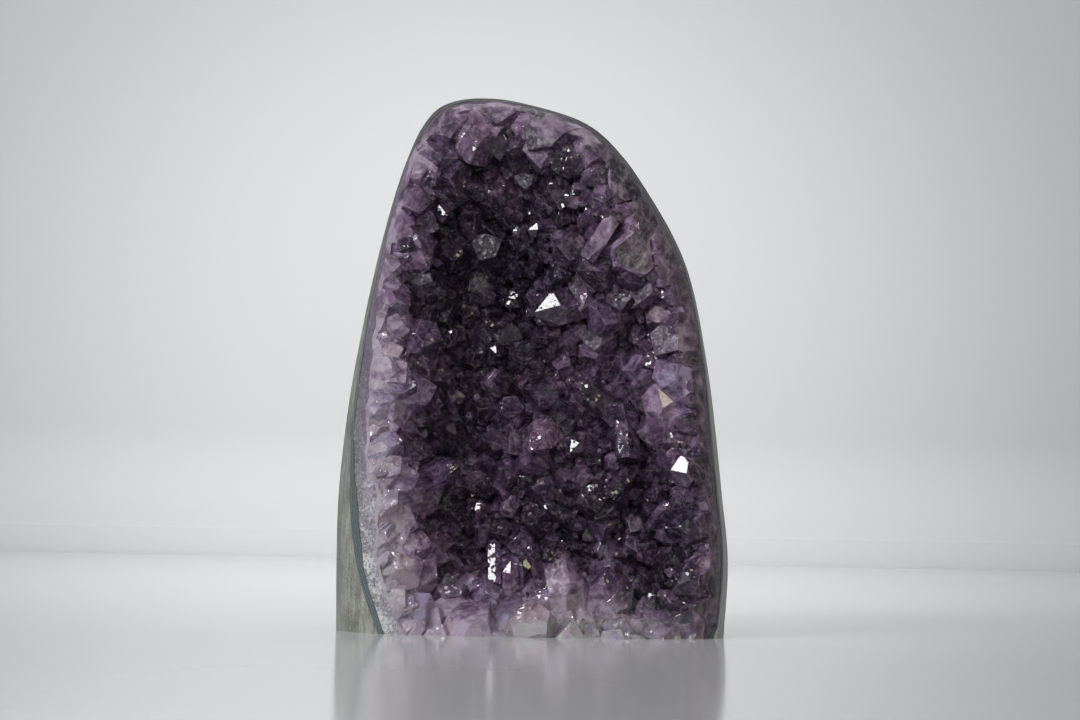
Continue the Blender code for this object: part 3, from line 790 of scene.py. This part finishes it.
def behind_ground(roots, ways, radii, lengths, rng):
    """Moves crystals back until their roots, heads and tips lie behind the ground outside, or about on it."""
    loose = rng.uniform(*LOOSE, len(roots))
    most = np.zeros(len(roots))
    for along, share in ((0.0, HEAD_CLEARANCE), (HEAD_PLACE, HEAD_CLEARANCE), (1.0, TIP_CLEARANCE)):
        spot = roots + ways * (along * lengths)[:, None]
        ground = ground_front(spot[:, 0], np.clip(spot[:, 2], 0, HIGHEST_GROUND))
        most = np.maximum(most, ground + share * radii - spot[:, 1] + loose)
    moved = roots.copy()
    moved[:, 1] += most
    return moved


def crystal_list(rng):
    """Root, way, radius, length and glint of each crystal: glints, large ones, rim rows and crops."""
    lists = [glinting_crystals(), large_crystals()]
    lists += [rim_row(row, rng) for row in RIM_ROWS]
    taken = np.concatenate([entry[0] for entry in lists])
    for count, radius, spread, limits, lengthening, highest, furthest in CROPS:
        turns, reaches, taken = crystal_sites(count, furthest, taken, rng)
        normals = into_hollow(turns, reaches)
        radii = np.clip(rng.lognormal(math.log(radius), spread, count), *limits) * MM
        radii *= 1 + LARGER_AT_RIM * reaches ** 5
        lengths = radii * rng.uniform(*lengthening, count)
        ways = unit(normals + rng.uniform(-LEAN_SPREAD, LEAN_SPREAD, normals.shape))
        roots = crust_face(turns, reaches) + normals * rng.uniform(0, highest * MM, (count, 1))
        roots = behind_ground(roots, ways, radii, lengths, rng)
        lists.append((roots, ways, radii, lengths, *no_glints(count)))
    lists += [rim_row(row, rng, *SMALL_ROWS_BETWEEN) for row in SMALL_RIM_ROWS]
    return [np.concatenate(column) for column in zip(*lists)]


def mark_faces(mesh, ground, tint=0.5, shine=ETCHED_FACE[1]):
    """Face attributes: 1 on what is ground smooth, a crystal's tint, a face's roughness, and 0 for worn."""
    for name, values in (("tint", tint), ("shine", shine), ("ground", ground), ("worn", 0)):
        attribute = mesh.attributes.new(name, "FLOAT", "FACE")
        filled = np.broadcast_to(np.asarray(values, np.float32), len(mesh.polygons))
        attribute.data.foreach_set("value", np.ascontiguousarray(filled))


def wear_edges(mesh):
    """Cuts the edges of a crystal off, over WORN_WIDTH, and marks the strips with worn = 1."""
    with editing(mesh) as shape:
        cut = bmesh.ops.bevel(shape, geom=shape.edges[:], offset=WORN_WIDTH, segments=1, affect="EDGES",
                              clamp_overlap=True)
        worn = shape.faces.layers.float["worn"]
        for face in cut["faces"]:
            face[worn] = 1


def face_shines(roots, radii, turns, normals, glint_roughness, rng):
    """Roughness of every face of every crystal: etched or bright, and matt where it would mirror a lamp."""
    shines = rng.uniform(*ETCHED_FACE, (len(radii), len(normals)))
    shines[rng.uniform(0, 1, shines.shape) < BRIGHT_SHARE] = BRIGHT_FACE
    looks = np.einsum("nij,kj->nki", turns, normals)
    for place in MIRRORED_LAMPS.values():
        aligned = np.einsum("nki,ni->nk", looks, halfway(roots, np.array(place))) > math.cos(CHANCE_ANGLE)
        shines[aligned & (radii > WORN_FROM)[:, None]] = MIRROR_BY_CHANCE
    return np.where(np.isnan(glint_roughness)[:, None], shines, glint_roughness[:, None])


def grow_crystals():
    """All crystals, each a closed mesh of flat faces, in a collection of their own."""
    rng = np.random.default_rng(SEED)
    roots, ways, radii, lengths, glint_push, glint_roughness, towards = crystal_list(rng)
    turns = crystal_frames(ways, towards, rng)
    normals, places = crystal_planes(radii, lengths, glint_push, rng)
    corners, triples, kept = crystal_corners(normals, places)
    placed = np.einsum("nij,ncj->nci", turns, corners) + roots[:, None]
    collection = new_collection("crystals")
    tints = rng.uniform(0, 1, len(radii))
    shines = face_shines(roots, radii, turns, normals, glint_roughness, rng)
    for number, (own, own_kept, local) in enumerate(zip(placed, kept, corners)):
        used, faces, planes = crystal_faces(normals, triples, own_kept, local)
        # Three faces meet at each corner of a sound one. It is left out if some corners fall together.
        if len(used) != 2 * len(faces) - 4:
            continue
        mesh = bpy.data.meshes.new(f"crystal_{number:04d}")
        mesh.from_pydata(own[used].tolist(), [], faces)
        mark_faces(mesh, 0, tints[number], shines[number, planes])
        if radii[number] > WORN_FROM:
            wear_edges(mesh)
        collection.objects.link(bpy.data.objects.new(mesh.name, mesh))
    return collection


# ------------------------------------------------------------------------------------------------- materials

class Value:
    """What a node gives, with plain arithmetic. Each sum puts one more node beside it."""

    def __init__(self, socket):
        self.socket = socket
        self.tree = socket.id_data

    def beside(self, output):
        """Another output of the same node."""
        return Value(self.socket.node.outputs[output])

    def __add__(self, other):
        return maths("ADD", self, other)

    def __sub__(self, other):
        return maths("SUBTRACT", self, other)

    def __rsub__(self, other):
        return maths("SUBTRACT", other, self)

    def __mul__(self, other):
        return maths("MULTIPLY", self, other)

    def __truediv__(self, other):
        return maths("DIVIDE", self, other)

    def __rtruediv__(self, other):
        return maths("DIVIDE", other, self)


def plug(node, inputs):
    """Gives sockets of a node, by name or number, what another node gives or a constant."""
    for name, value in dict(inputs).items():
        socket = node.inputs[name]
        if isinstance(value, Value):
            value.tree.links.new(value.socket, socket)
        elif socket.type == "RGBA":
            socket.default_value = (*value, 1)
        else:
            socket.default_value = value


def put(kind, inputs=(), output=0, tree=None, **settings):
    """Adds a node beside those that feed it, or else to a tree, and returns one of its outputs.

    Inputs are as plug takes them, and settings are the node's own properties.
    """
    if tree is None:
        tree = next(value.tree for value in dict(inputs).values() if isinstance(value, Value))
    node = tree.nodes.new(kind)
    for name, value in settings.items():
        setattr(node, name, value)
    plug(node, inputs)
    return Value(node.outputs[output])


def maths(operation, *values):
    return put("ShaderNodeMath", dict(enumerate(values)), operation=operation)


def vectors(operation, *values, output="Vector"):
    return put("ShaderNodeVectorMath", dict(enumerate(values)), output, operation=operation)


def part_of(vector, axis):
    """One part of a vector."""
    return put("ShaderNodeSeparateXYZ", {0: vector}, axis)


def noise(place, pitch, detail=3.0, distortion=0.0, output="Fac"):
    """Soft random values from 0 to 1 in lumps of about this pitch, in metres."""
    inputs = {"Vector": place, "Scale": 1 / pitch, "Detail": detail, "Distortion": distortion}
    return put("ShaderNodeTexNoise", inputs, output)


def remap(value, low, high, to_low=0.0, to_high=1.0):
    """A value's range from low to high, eased and clipped, as to_low to to_high."""
    inputs = {"Value": value, "From Min": low, "From Max": high, "To Min": to_low, "To Max": to_high}
    return put("ShaderNodeMapRange", inputs, "Result", interpolation_type="SMOOTHSTEP")


def either(share, first, second):
    """A value between two others."""
    return put("ShaderNodeMix", {0: share, 2: first, 3: second})


def blend(share, first, second, how="MIX"):
    """A colour between two others, or the first with a share of the second on it."""
    return put("ShaderNodeMix", {0: share, 6: first, 7: second}, 2, data_type="RGBA", blend_type=how)


def gradient(value, stops):
    """Colours along a value from 0 to 1, each stop a position and a colour."""
    made = put("ShaderNodeValToRGB", {"Fac": value}, "Color")
    elements = made.socket.node.color_ramp.elements
    while len(elements) < len(stops):
        elements.new(0.5)
    for element, (position, colour) in zip(elements, stops):
        element.position = position
        element.color = (*colour, 1)
    return made


def bump(height, strength=1.0):
    """A normal from a height that is already in metres."""
    return put("ShaderNodeBump", {"Height": height, "Strength": strength, "Distance": 1.0}, "Normal")


def wisps(place, pitch, width):
    """Thin pale lines: where a soft noise passes through its middle, 1 on the line and 0 beyond its width."""
    off = maths("ABSOLUTE", noise(place, pitch, distortion=0.8) - 0.5)
    return remap(off, 0.0, width, 1.0, 0.0)


def node_group(build, **inputs):
    """A node group named for the function that builds it.

    Inputs are its sockets with their first values, None for a vector. Build takes them and returns the
    outputs by name.
    """
    tree = bpy.data.node_groups.new(build.__name__, "ShaderNodeTree")
    for name, value in inputs.items():
        kind = "NodeSocketVector" if value is None else "NodeSocketFloat"
        made = tree.interface.new_socket(name, in_out="INPUT", socket_type=kind)
        if value is not None:
            made.default_value = value
    given = tree.nodes.new("NodeGroupInput").outputs
    outputs = build(**{name: Value(given[name]) for name in inputs})
    for name in outputs:
        tree.interface.new_socket(name, in_out="OUTPUT", socket_type="NodeSocketFloat")
    plug(tree.nodes.new("NodeGroupOutput"), outputs)


def etched(place, pitch, tilt):
    """Small flat facets. Each cell is a plane with a random tilt: height = (place - centre) . tilt."""
    centre = put("ShaderNodeTexVoronoi", {"Vector": place, "Scale": 1 / pitch}, "Position")
    offset = vectors("SUBTRACT", place, centre)
    own_tilt = vectors("SUBTRACT", centre.beside("Color"), MIDDLE_GREY)
    return {"height": vectors("DOT_PRODUCT", offset, own_tilt, output="Value") * tilt}


def grain(place, pitch):
    """Fine speckle from -0.5 to 0.5, the mean of a fine and a very fine noise."""
    fine = noise(place, pitch, detail=1.0)
    very_fine = noise(place, pitch / 2.7, detail=2.0)
    return {"speckle": (fine + very_fine) * 0.5 - 0.5}


def cut_crystals(flow, width, lengthening):
    """Crystals that the ground rim cuts through, as cells that are drawn out towards the hollow.

    Each cell has a random value and a heart. Broken pale seams run between them, and pale veils over them.
    """
    shrink = put("ShaderNodeCombineXYZ", {"X": 1.0, "Y": 1 / lengthening, "Z": 0.6})
    drawn_out = vectors("MULTIPLY", flow, shrink)
    warp = vectors("SUBTRACT", noise(flow, 2.381 * MM, output="Color"), MIDDLE_GREY)
    place = vectors("ADD", drawn_out, vectors("MULTIPLY", warp, (2.2 * MM, 2.2 * MM, 2.2 * MM)))
    cells = {"Vector": place, "Scale": 1 / width}
    edge = put("ShaderNodeTexVoronoi", cells, "Distance", feature="DISTANCE_TO_EDGE")
    broken = remap(noise(place, 1.6 * MM, detail=2.0), 0.38, 0.60)
    return {
        "cell": part_of(put("ShaderNodeTexVoronoi", cells, "Color"), "X"),
        "heart": remap(edge, 0.0, 0.32),
        "seam": remap(edge, 0.0, 0.07, 1.0, 0.0) * broken,
        "veil": remap(noise(place, 2.0 * MM, detail=5.0, distortion=1.8), 0.50, 0.66),
    }


def use_group(name, **inputs):
    """Places a node group with values of its own, and returns its first output."""
    return put("ShaderNodeGroup", inputs, node_tree=bpy.data.node_groups[name])


def new_material(name):
    material = bpy.data.materials.new(name)
    material.use_nodes = True
    return material


def object_place(material):
    return put("ShaderNodeTexCoord", output="Object", tree=material.node_tree)


def read(material, name, output="Fac"):
    """An attribute of the piece that wears the material."""
    return put("ShaderNodeAttribute", output=output, tree=material.node_tree, attribute_name=name)


def amethyst_material():
    """Amethyst: pale at the rim and deep violet in the hollow, each crystal with a tint of its own."""
    material = new_material("amethyst_glass")
    place = object_place(material)
    names = ("tint", "shine", "ground", "deep", "white", "worn")
    tint, shine, ground, deep, white, worn = (read(material, name) for name in names)
    cut = use_group("cut_crystals", flow=read(material, "flow", "Vector"), width=5.6 * MM)
    # How dark: by the zone, which holds painted shade in the recess, by the crystal or the cell that it is
    # cut into, and by clouds in it.
    own = either(ground, tint * 0.66 - 0.33, cut * 0.60 - 0.34 + cut.beside("heart") * 0.34)
    cloudy = noise(place, 3.0 * MM, detail=5.0, distortion=0.8) * 1.5 - 0.75
    level = deep + own + cloudy
    body = gradient(level, VIOLETS)
    hue = maths("FRACT", tint * 7.31)
    body = blend(remap(hue, 0.72, 0.95, 0.0, 0.55), body, BLUER, "MULTIPLY")
    body = blend(remap(hue, 0.20, 0.04, 0.0, 0.45), body, REDDER, "MULTIPLY")
    veil = remap(noise(place, 1.4 * MM, detail=5.0, distortion=1.2), 0.50, 0.66, 0.0, 0.5)
    # Thin pale lines: partly veils in the crystal, partly painted sparkle.
    veil = maths("MAXIMUM", veil, wisps(place, 2.2 * MM, width=0.012) * 0.6)
    body = blend(veil * remap(level, 0.3, 1.1, 1.0, 0.35), body, VEIL_AND_SPARKLE)
    seam = maths("MAXIMUM", cut.beside("seam") * 0.8, cut.beside("veil") * 0.5)
    body = blend(ground * seam, body, CUT_SEAM)
    patchy = remap(noise(place, 2.6 * MM, detail=4.0, distortion=0.6), 0.36, 0.56, 0.25, 1.0)
    body = blend(white * patchy, body, WHITE_QUARTZ)
    # The worn edges are paler, most on pale crystals: partly wear, partly a painted highlight.
    body = blend(worn * remap(level, 0.1, 0.9, 0.6, 0.10), body, WORN_EDGE_AND_HIGHLIGHT)
    rightness = remap(part_of(place, "X"), 6 * MM, 36 * MM, 0.0, 0.55)
    body = blend(ground * rightness, body, IRON_STAIN, "MULTIPLY")
    uneven = noise(place, 1.2 * MM) * 0.16 - 0.08
    # Mirror-bright faces are flat, the rest is etched, and the ground rim a little uneven.
    coarse = use_group("etched", place=place, pitch=1.9 * MM, tilt=0.60)
    fine = use_group("etched", place=place, pitch=0.7 * MM, tilt=0.50)
    dull = either(ground, remap(shine, 0.031, 0.10), 0.35)
    plug(material.node_tree.nodes["Principled BSDF"], {
        "Base Color": body,
        "Roughness": maths("MAXIMUM", either(ground, shine, GROUND_RIM) + uneven, 0.02),
        "Normal": bump((coarse + fine) * dull),
        "IOR": QUARTZ_IOR,
        "Transmission Weight": 0.73,
        "Specular IOR Level": 0.42,
    })
    inside = put("ShaderNodeVolumeAbsorption", {"Color": INSIDE_VIOLET, "Density": AMETHYST_DENSITY},
                 tree=material.node_tree)
    plug(material.node_tree.nodes["Material Output"], {"Volume": inside})
    return material


def quartz_material():
    """Milky quartz: grey-white and grainy by the agate, and passing into the amethyst's violet inwards."""
    material = new_material("quartz_milky")
    place = object_place(material)
    pale = read(material, "pale")
    speckle = use_group("grain", place=place, pitch=0.7 * MM)
    cut = use_group("cut_crystals", flow=read(material, "flow", "Vector"), width=1.8 * MM, lengthening=2.6)
    level = pale + speckle * 1.6 + noise(place, 4 * MM) * 0.8 - 0.4
    inner = remap(read(material, "through") + speckle * 0.8, 0.45, 1.15, 0.0, 0.80)
    body = blend(inner, gradient(level, QUARTZ_GREYS), gradient(level, QUARTZ_VIOLETS))
    plug(material.node_tree.nodes["Principled BSDF"], {
        "Base Color": blend(cut.beside("seam") * pale * 0.25, body, QUARTZ_SEAM),
        "Roughness": speckle * 0.5 + 0.32,
        "Normal": bump(use_group("etched", place=place, pitch=0.6 * MM, tilt=0.5), 0.8),
        "IOR": QUARTZ_IOR,
    })
    return material


def agate_material():
    """Agate: dark blue-grey bands that follow the hollow's wall."""
    material = new_material("agate_banded")
    place = object_place(material)
    inward = part_of(read(material, "flow", "Vector"), "Y") + noise(place, 6 * MM, detail=2.0) * (1.6 * MM)
    lines = maths("SINE", inward * (2 * math.pi / AGATE_LINES))
    speckle = use_group("grain", place=place, pitch=0.5 * MM)
    plug(material.node_tree.nodes["Principled BSDF"], {
        "Base Color": gradient(lines * 0.16 + 0.5 + speckle * 0.9, AGATE_BLUES),
        "Roughness": 0.28,
    })
    return material


def basalt_material():
    """Basalt: grey-green with fine upright scratches where it is ground, browner where it is broken."""
    material = new_material("basalt_rock")
    place = object_place(material)
    broken = read(material, "broken")
    right, height = part_of(place, "X"), part_of(place, "Z")
    scratches = noise(vectors("MULTIPLY", place, (1.0, 1.0, 0.10)), 0.7 * MM)
    speckle = use_group("grain", place=place, pitch=0.6 * MM)
    mottle = noise(place, 9 * MM, detail=4.0)
    lumps = noise(place, 3.6 * MM, detail=6.0, distortion=0.4)
    ground = gradient(scratches * 0.55 + mottle * 0.45 + speckle * 0.5, GROUND_BASALT)
    rough = gradient(lumps * 0.75 + mottle * 0.25 + speckle * 0.6, BROKEN_BASALT)
    # Paler along the lower right edge, a painted sheen of grazing light, and darker towards the top.
    painted_sheen = remap(right, 26 * MM, 36 * MM) * remap(height, 90 * MM, 70 * MM, 0.0, 0.55)
    ground = blend(painted_sheen, ground, PAINTED_SHEEN_GREY)
    ground = blend(remap(height, 75 * MM, 108 * MM), ground, DARK_TOP, "MULTIPLY")
    specks = remap(noise(place, 1.1 * MM, detail=1.0), 0.64, 0.72) * 0.7
    low = remap(height, 4 * MM, 50 * MM, 1.0, 0.25)
    pits = noise(place, 1.2 * MM, detail=4.0) * (0.5 * MM) + lumps * (1.8 * MM)
    plug(material.node_tree.nodes["Principled BSDF"], {
        "Base Color": blend(specks * low, blend(broken, ground, rough), RUST_SPECK),
        "Roughness": broken * 0.35 + 0.5,
        "Normal": bump(scratches * (0.04 * MM) + pits * broken),
    })
    return material


def table_paint():
    """The paint of the table and wall: it darkens to both sides and upwards, as painted shade round a
    painted pool of light, and is clear from behind.

    The pale middle is narrowest in front of the stone, and widens both ways from there.
    """
    material = new_material("table_paint")
    place = object_place(material)
    x, y, z = (part_of(place, axis) for axis in "XYZ")
    # Painted light: a pale pool in the middle, and painted shade falling off to the sides and upwards.
    width = maths("MAXIMUM", y * 0.19 + 0.142, y * -0.45 - 0.04)
    across = (x - (y * 0.02 - 0.025)) / width
    above = maths("MAXIMUM", (z - 0.08) / 0.19, 0.0)
    far = maths("SQRT", across * across + above * above)
    behind = put("ShaderNodeNewGeometry", output="Backfacing", tree=material.node_tree)
    plug(material.node_tree.nodes["Principled BSDF"], {
        "Base Color": blend(remap(far, 0.25, 1.25), PALE_PAINT, PAINTED_FALLOFF_GREY),
        "Roughness": remap(z, 0.0, 0.03, 0.13, 0.7),
        "Specular IOR Level": 0.36,
        "Alpha": 1 - behind,
    })
    return material


# ----------------------------------------------------------------------------------------------------- pieces

def stone_outside(name, rough=False, set_back=0.0, worn=0.0):
    """The ground outside as a closed surface. Rough adds the broken rock's fine lumps on the back.

    They fade out towards the sides, the foot and the top. Set_back moves its front backwards, and worn is the
    depth of soft dents in its front.
    """
    crown = np.linspace(1, TOP_CROWN, HEIGHTS)[:, None]
    turn = np.linspace(0, 2 * math.pi, TURNS, endpoint=False)[None, :]
    points, backness = outside(crown, turn)
    if rough:
        lumps = sum(cloud(points, pitch * MM, seed) * height
                    for seed, (pitch, height) in enumerate(BACK_LUMPS, start=1))
        fade = np.minimum(1, 3 * backness) * np.minimum(1, 20 * (1 - crown)) * np.minimum(1, 6 * crown)
        points[..., 1] -= (np.abs(lumps * MM) + BACK_SET_IN) * fade
    dents = worn * (0.5 + 0.5 * cloud(points, WEAR_PITCH, 9))
    points[..., 1] += (set_back + dents) * np.maximum(0, -np.sin(turn)) ** (2 / FRONT_SQUARENESS)
    return loft(name, points)


def mark_points(mesh, name, values):
    kind, field = ("FLOAT_VECTOR", "vector") if values.ndim == 2 else ("FLOAT", "value")
    made = mesh.attributes.new(name, kind, "POINT")
    made.data.foreach_set(field, values.astype(np.float32).ravel())


def patchwork(x, z, entries):
    """A sum of round patches over (x, z), in mm: each is strongest in its middle, and fades as a bell."""
    return sum(height * np.exp(-((x - centre_x) / wide) ** 2 - ((z - centre_z) / high) ** 2)
               for height, centre_x, centre_z, wide, high in entries)


def mark_zones(mesh):
    """Point attributes, worked out in the front view.

    Flow: metres along the rim, in from it, and back. Deep: how dark a violet, which grows with the way in
    from the rim, starts paler on the left, and has patches, the one over the recess partly painted shade.
    Pale: how white the quartz is, most at the lower left.
    White: where the crystals turn to white quartz. Through: the way through the quartz, 0 at the agate.
    """
    places = point_places(mesh)
    x, z = places[:, 0], places[:, 2]
    turn, reach = front_view_site(x, z)
    inward = rim_radius(turn) * (1 - reach)
    mark_points(mesh, "flow", np.stack((turn * RIM_MEAN, inward, places[:, 1]), axis=-1))
    agate = band(AGATE_ON_FLOOR, AGATE_AT_RIM, turn, reach)
    way_through = (inward - agate) / band(QUARTZ_ON_FLOOR, QUARTZ_AT_RIM, turn, reach)
    mark_points(mesh, "through", np.clip(way_through, 0, 1))
    x, z, inward = x / MM, z / MM, inward / MM
    leftness = 0.5 + 0.5 * np.cos(turn - math.radians(PALE_WAY))
    start = RIM_VIOLET * (1 - leftness)
    deep = start + (INNER_VIOLET - start) * np.clip((inward - VIOLET_FROM) / VIOLET_OVER, 0, 1) ** 0.9
    mark_points(mesh, "deep", np.clip(deep + patchwork(x, z, VIOLET_AND_SHADE_PATCHES), *VIOLET_LIMITS))
    mark_points(mesh, "pale", 0.10 + 0.90 * leftness ** 2 * np.clip(1.15 - z / 70, 0.25, 1))
    mark_points(mesh, "white", np.clip(patchwork(x, z, WHITE_PATCHES), 0, 1))


def mark_broken(mesh):
    """Point attribute broken: 1 on the rock's rough back, 0 on its ground sides."""
    backness = np.clip((point_places(mesh)[:, 1] / MM - BROKEN_FROM) / BROKEN_FADE, 0, 1)
    mark_points(mesh, "broken", backness)


def finish_piece(obj, node_name, material, degrees):
    soften(obj, degrees)
    obj.data.materials.clear()
    obj.data.materials.append(material)
    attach(obj, "root")
    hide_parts(node_name)


def make_damage():
    """The chip and the pits, as balls in a collection."""
    damage = new_collection("damage")
    for number, place in enumerate((CHIP, *PITS)):
        damage.objects.link(rough_ball(f"cutter_damage_{number}", *place))
    return damage


def make_rock(damage):
    """The basalt: the whole outside with its rough back, less the bowl."""
    rock = stone_outside("basalt", rough=True)
    carve(rock, ("DIFFERENCE", hollow("cutter_basalt", bowl)), ("DIFFERENCE", damage))
    mark_broken(rock.data)
    finish_piece(rock, "basalt_rind", basalt_material(), BAND_EDGE)


def make_band(name, outer_face, inner_face, stone, damage):
    """A band between two faces of the hollow, which ends at the stone's outside."""
    piece = hollow(name, outer_face, -BITE)
    carve(piece, ("INTERSECT", stone), ("DIFFERENCE", hollow(f"cutter_{name}", inner_face)),
          ("DIFFERENCE", damage))
    mark_zones(piece.data)
    return piece


def make_crust(worn_outside, damage):
    """The amethyst: a crust on the quartz with all crystals grown into it, and its rim ground and worn."""
    crust = hollow("amethyst", quartz_face, -CRUST_ROOT)
    crystals = grow_crystals()
    front = hollow("cutter_crust", crust_face)
    back = hollow("cutter_roots", quartz_face, -BITE)
    set_back = stone_outside("cutter_set_back", set_back=RIM_RELIEF)
    for obj, ground in ((crust, 0), (front, 0), (back, 0), (worn_outside, 1), (set_back, 1)):
        mark_faces(obj.data, ground)
    carve(crust, ("DIFFERENCE", front), ("INTERSECT", set_back), ("UNION", crystals), ("INTERSECT", back),
          ("INTERSECT", worn_outside), ("DIFFERENCE", damage))
    mark_zones(crust.data)
    finish_piece(crust, "amethyst_crust", amethyst_material(), CRYSTAL_EDGE)


def make_stone():
    worn_outside = stone_outside("cutter_worn", worn=WEAR_DEPTH)
    damage = make_damage()
    make_rock(damage)
    agate = make_band("agate", bowl, agate_face, stone_outside("cutter_outside"), damage)
    finish_piece(agate, "agate_band", agate_material(), BAND_EDGE)
    quartz = make_band("quartz", agate_face, quartz_face, worn_outside, damage)
    finish_piece(quartz, "quartz_band", quartz_material(), BAND_EDGE)
    make_crust(worn_outside, damage)
    for obj in [obj for obj in bpy.data.objects if obj.name.startswith(("cutter_", "crystal_"))]:
        bpy.data.objects.remove(obj)
    for name in ("crystals", "damage"):
        bpy.data.collections.remove(bpy.data.collections[name])


# ------------------------------------------------------------------------------------------------------ stage

def make_stage():
    """A glossy pale table that rises in a soft bend into the wall behind it, as one swept profile."""
    angle = np.linspace(-math.pi / 2, 0, BEND_STEPS)
    y = np.concatenate(([TABLE_FORWARD], WALL_BEHIND - BEND + BEND * np.cos(angle), [WALL_BEHIND]))
    z = np.concatenate(([0], BEND + BEND * np.sin(angle), [SHEET_TOP]))
    x = np.array((-SHEET_HALF, SHEET_HALF))
    points = np.stack(np.broadcast_arrays(x[None, :], y[:, None], z[:, None]), axis=-1).reshape(-1, 3)
    row = np.arange(len(y) - 1)[:, None] * 2
    faces = (row + np.array((0, 1, 3, 2))).tolist()
    mesh = bpy.data.meshes.new("table_and_wall")
    mesh.from_pydata(points.tolist(), [], faces)
    mesh.shade_smooth()
    mesh.materials.append(table_paint())
    new_object("table_and_wall", mesh)


def make_lamp(name, place, aim, width, height, watts, colour, mirrored):
    data = bpy.data.lights.new(name, "AREA")
    data.shape = "RECTANGLE"
    data.size = width
    data.size_y = height
    data.energy = watts
    data.color = colour
    lamp = new_object(name, data)
    lamp.location = place
    lamp.rotation_euler = (Vector(aim) - Vector(place)).to_track_quat("-Z", "Y").to_euler()
    lamp.visible_glossy = mirrored


def light_only(lamp, piece):
    """Makes a lamp light one piece and nothing else."""
    lit = bpy.data.collections.new(f"lit_by_{lamp.name}")
    lit.objects.link(piece)
    lamp.light_linking.receiver_collection = lit


def make_room():
    """The air's light, which is dimmer as the crystals mirror it than as it lights them."""
    world = bpy.data.worlds.new("room_air")
    world.use_nodes = True
    mirrored = put("ShaderNodeLightPath", output="Is Glossy Ray", tree=world.node_tree)
    strength = either(mirrored, ROOM_LIGHTS, ROOM_MIRRORED)
    plug(world.node_tree.nodes["Background"], {"Strength": strength, "Color": ROOM_COLOUR})
    bpy.context.scene.world = world


def make_camera():
    data = bpy.data.cameras.new("camera")
    data.sensor_width = SENSOR_MM
    data.lens = LENS_MM
    camera = new_object("camera", data)
    look = (Vector(LOOKS_AT) - Vector(EYE)).to_track_quat("-Z", "Y")
    camera.matrix_world = Matrix.Translation(EYE) @ look.to_matrix().to_4x4() @ Matrix.Rotation(ROLL, 4, "Z")
    bpy.context.scene.camera = camera
    bpy.context.scene.view_settings.view_transform = "Standard"


node_group(etched, place=None, pitch=2 * MM, tilt=0.3)
node_group(grain, place=None, pitch=0.5 * MM)
node_group(cut_crystals, flow=None, width=3 * MM, lengthening=1.7)
make_stone()
make_stage()
for entry in LAMPS:
    make_lamp(*entry)
light_only(bpy.data.objects["shade"], bpy.data.objects["amethyst"])
make_room()
make_camera()
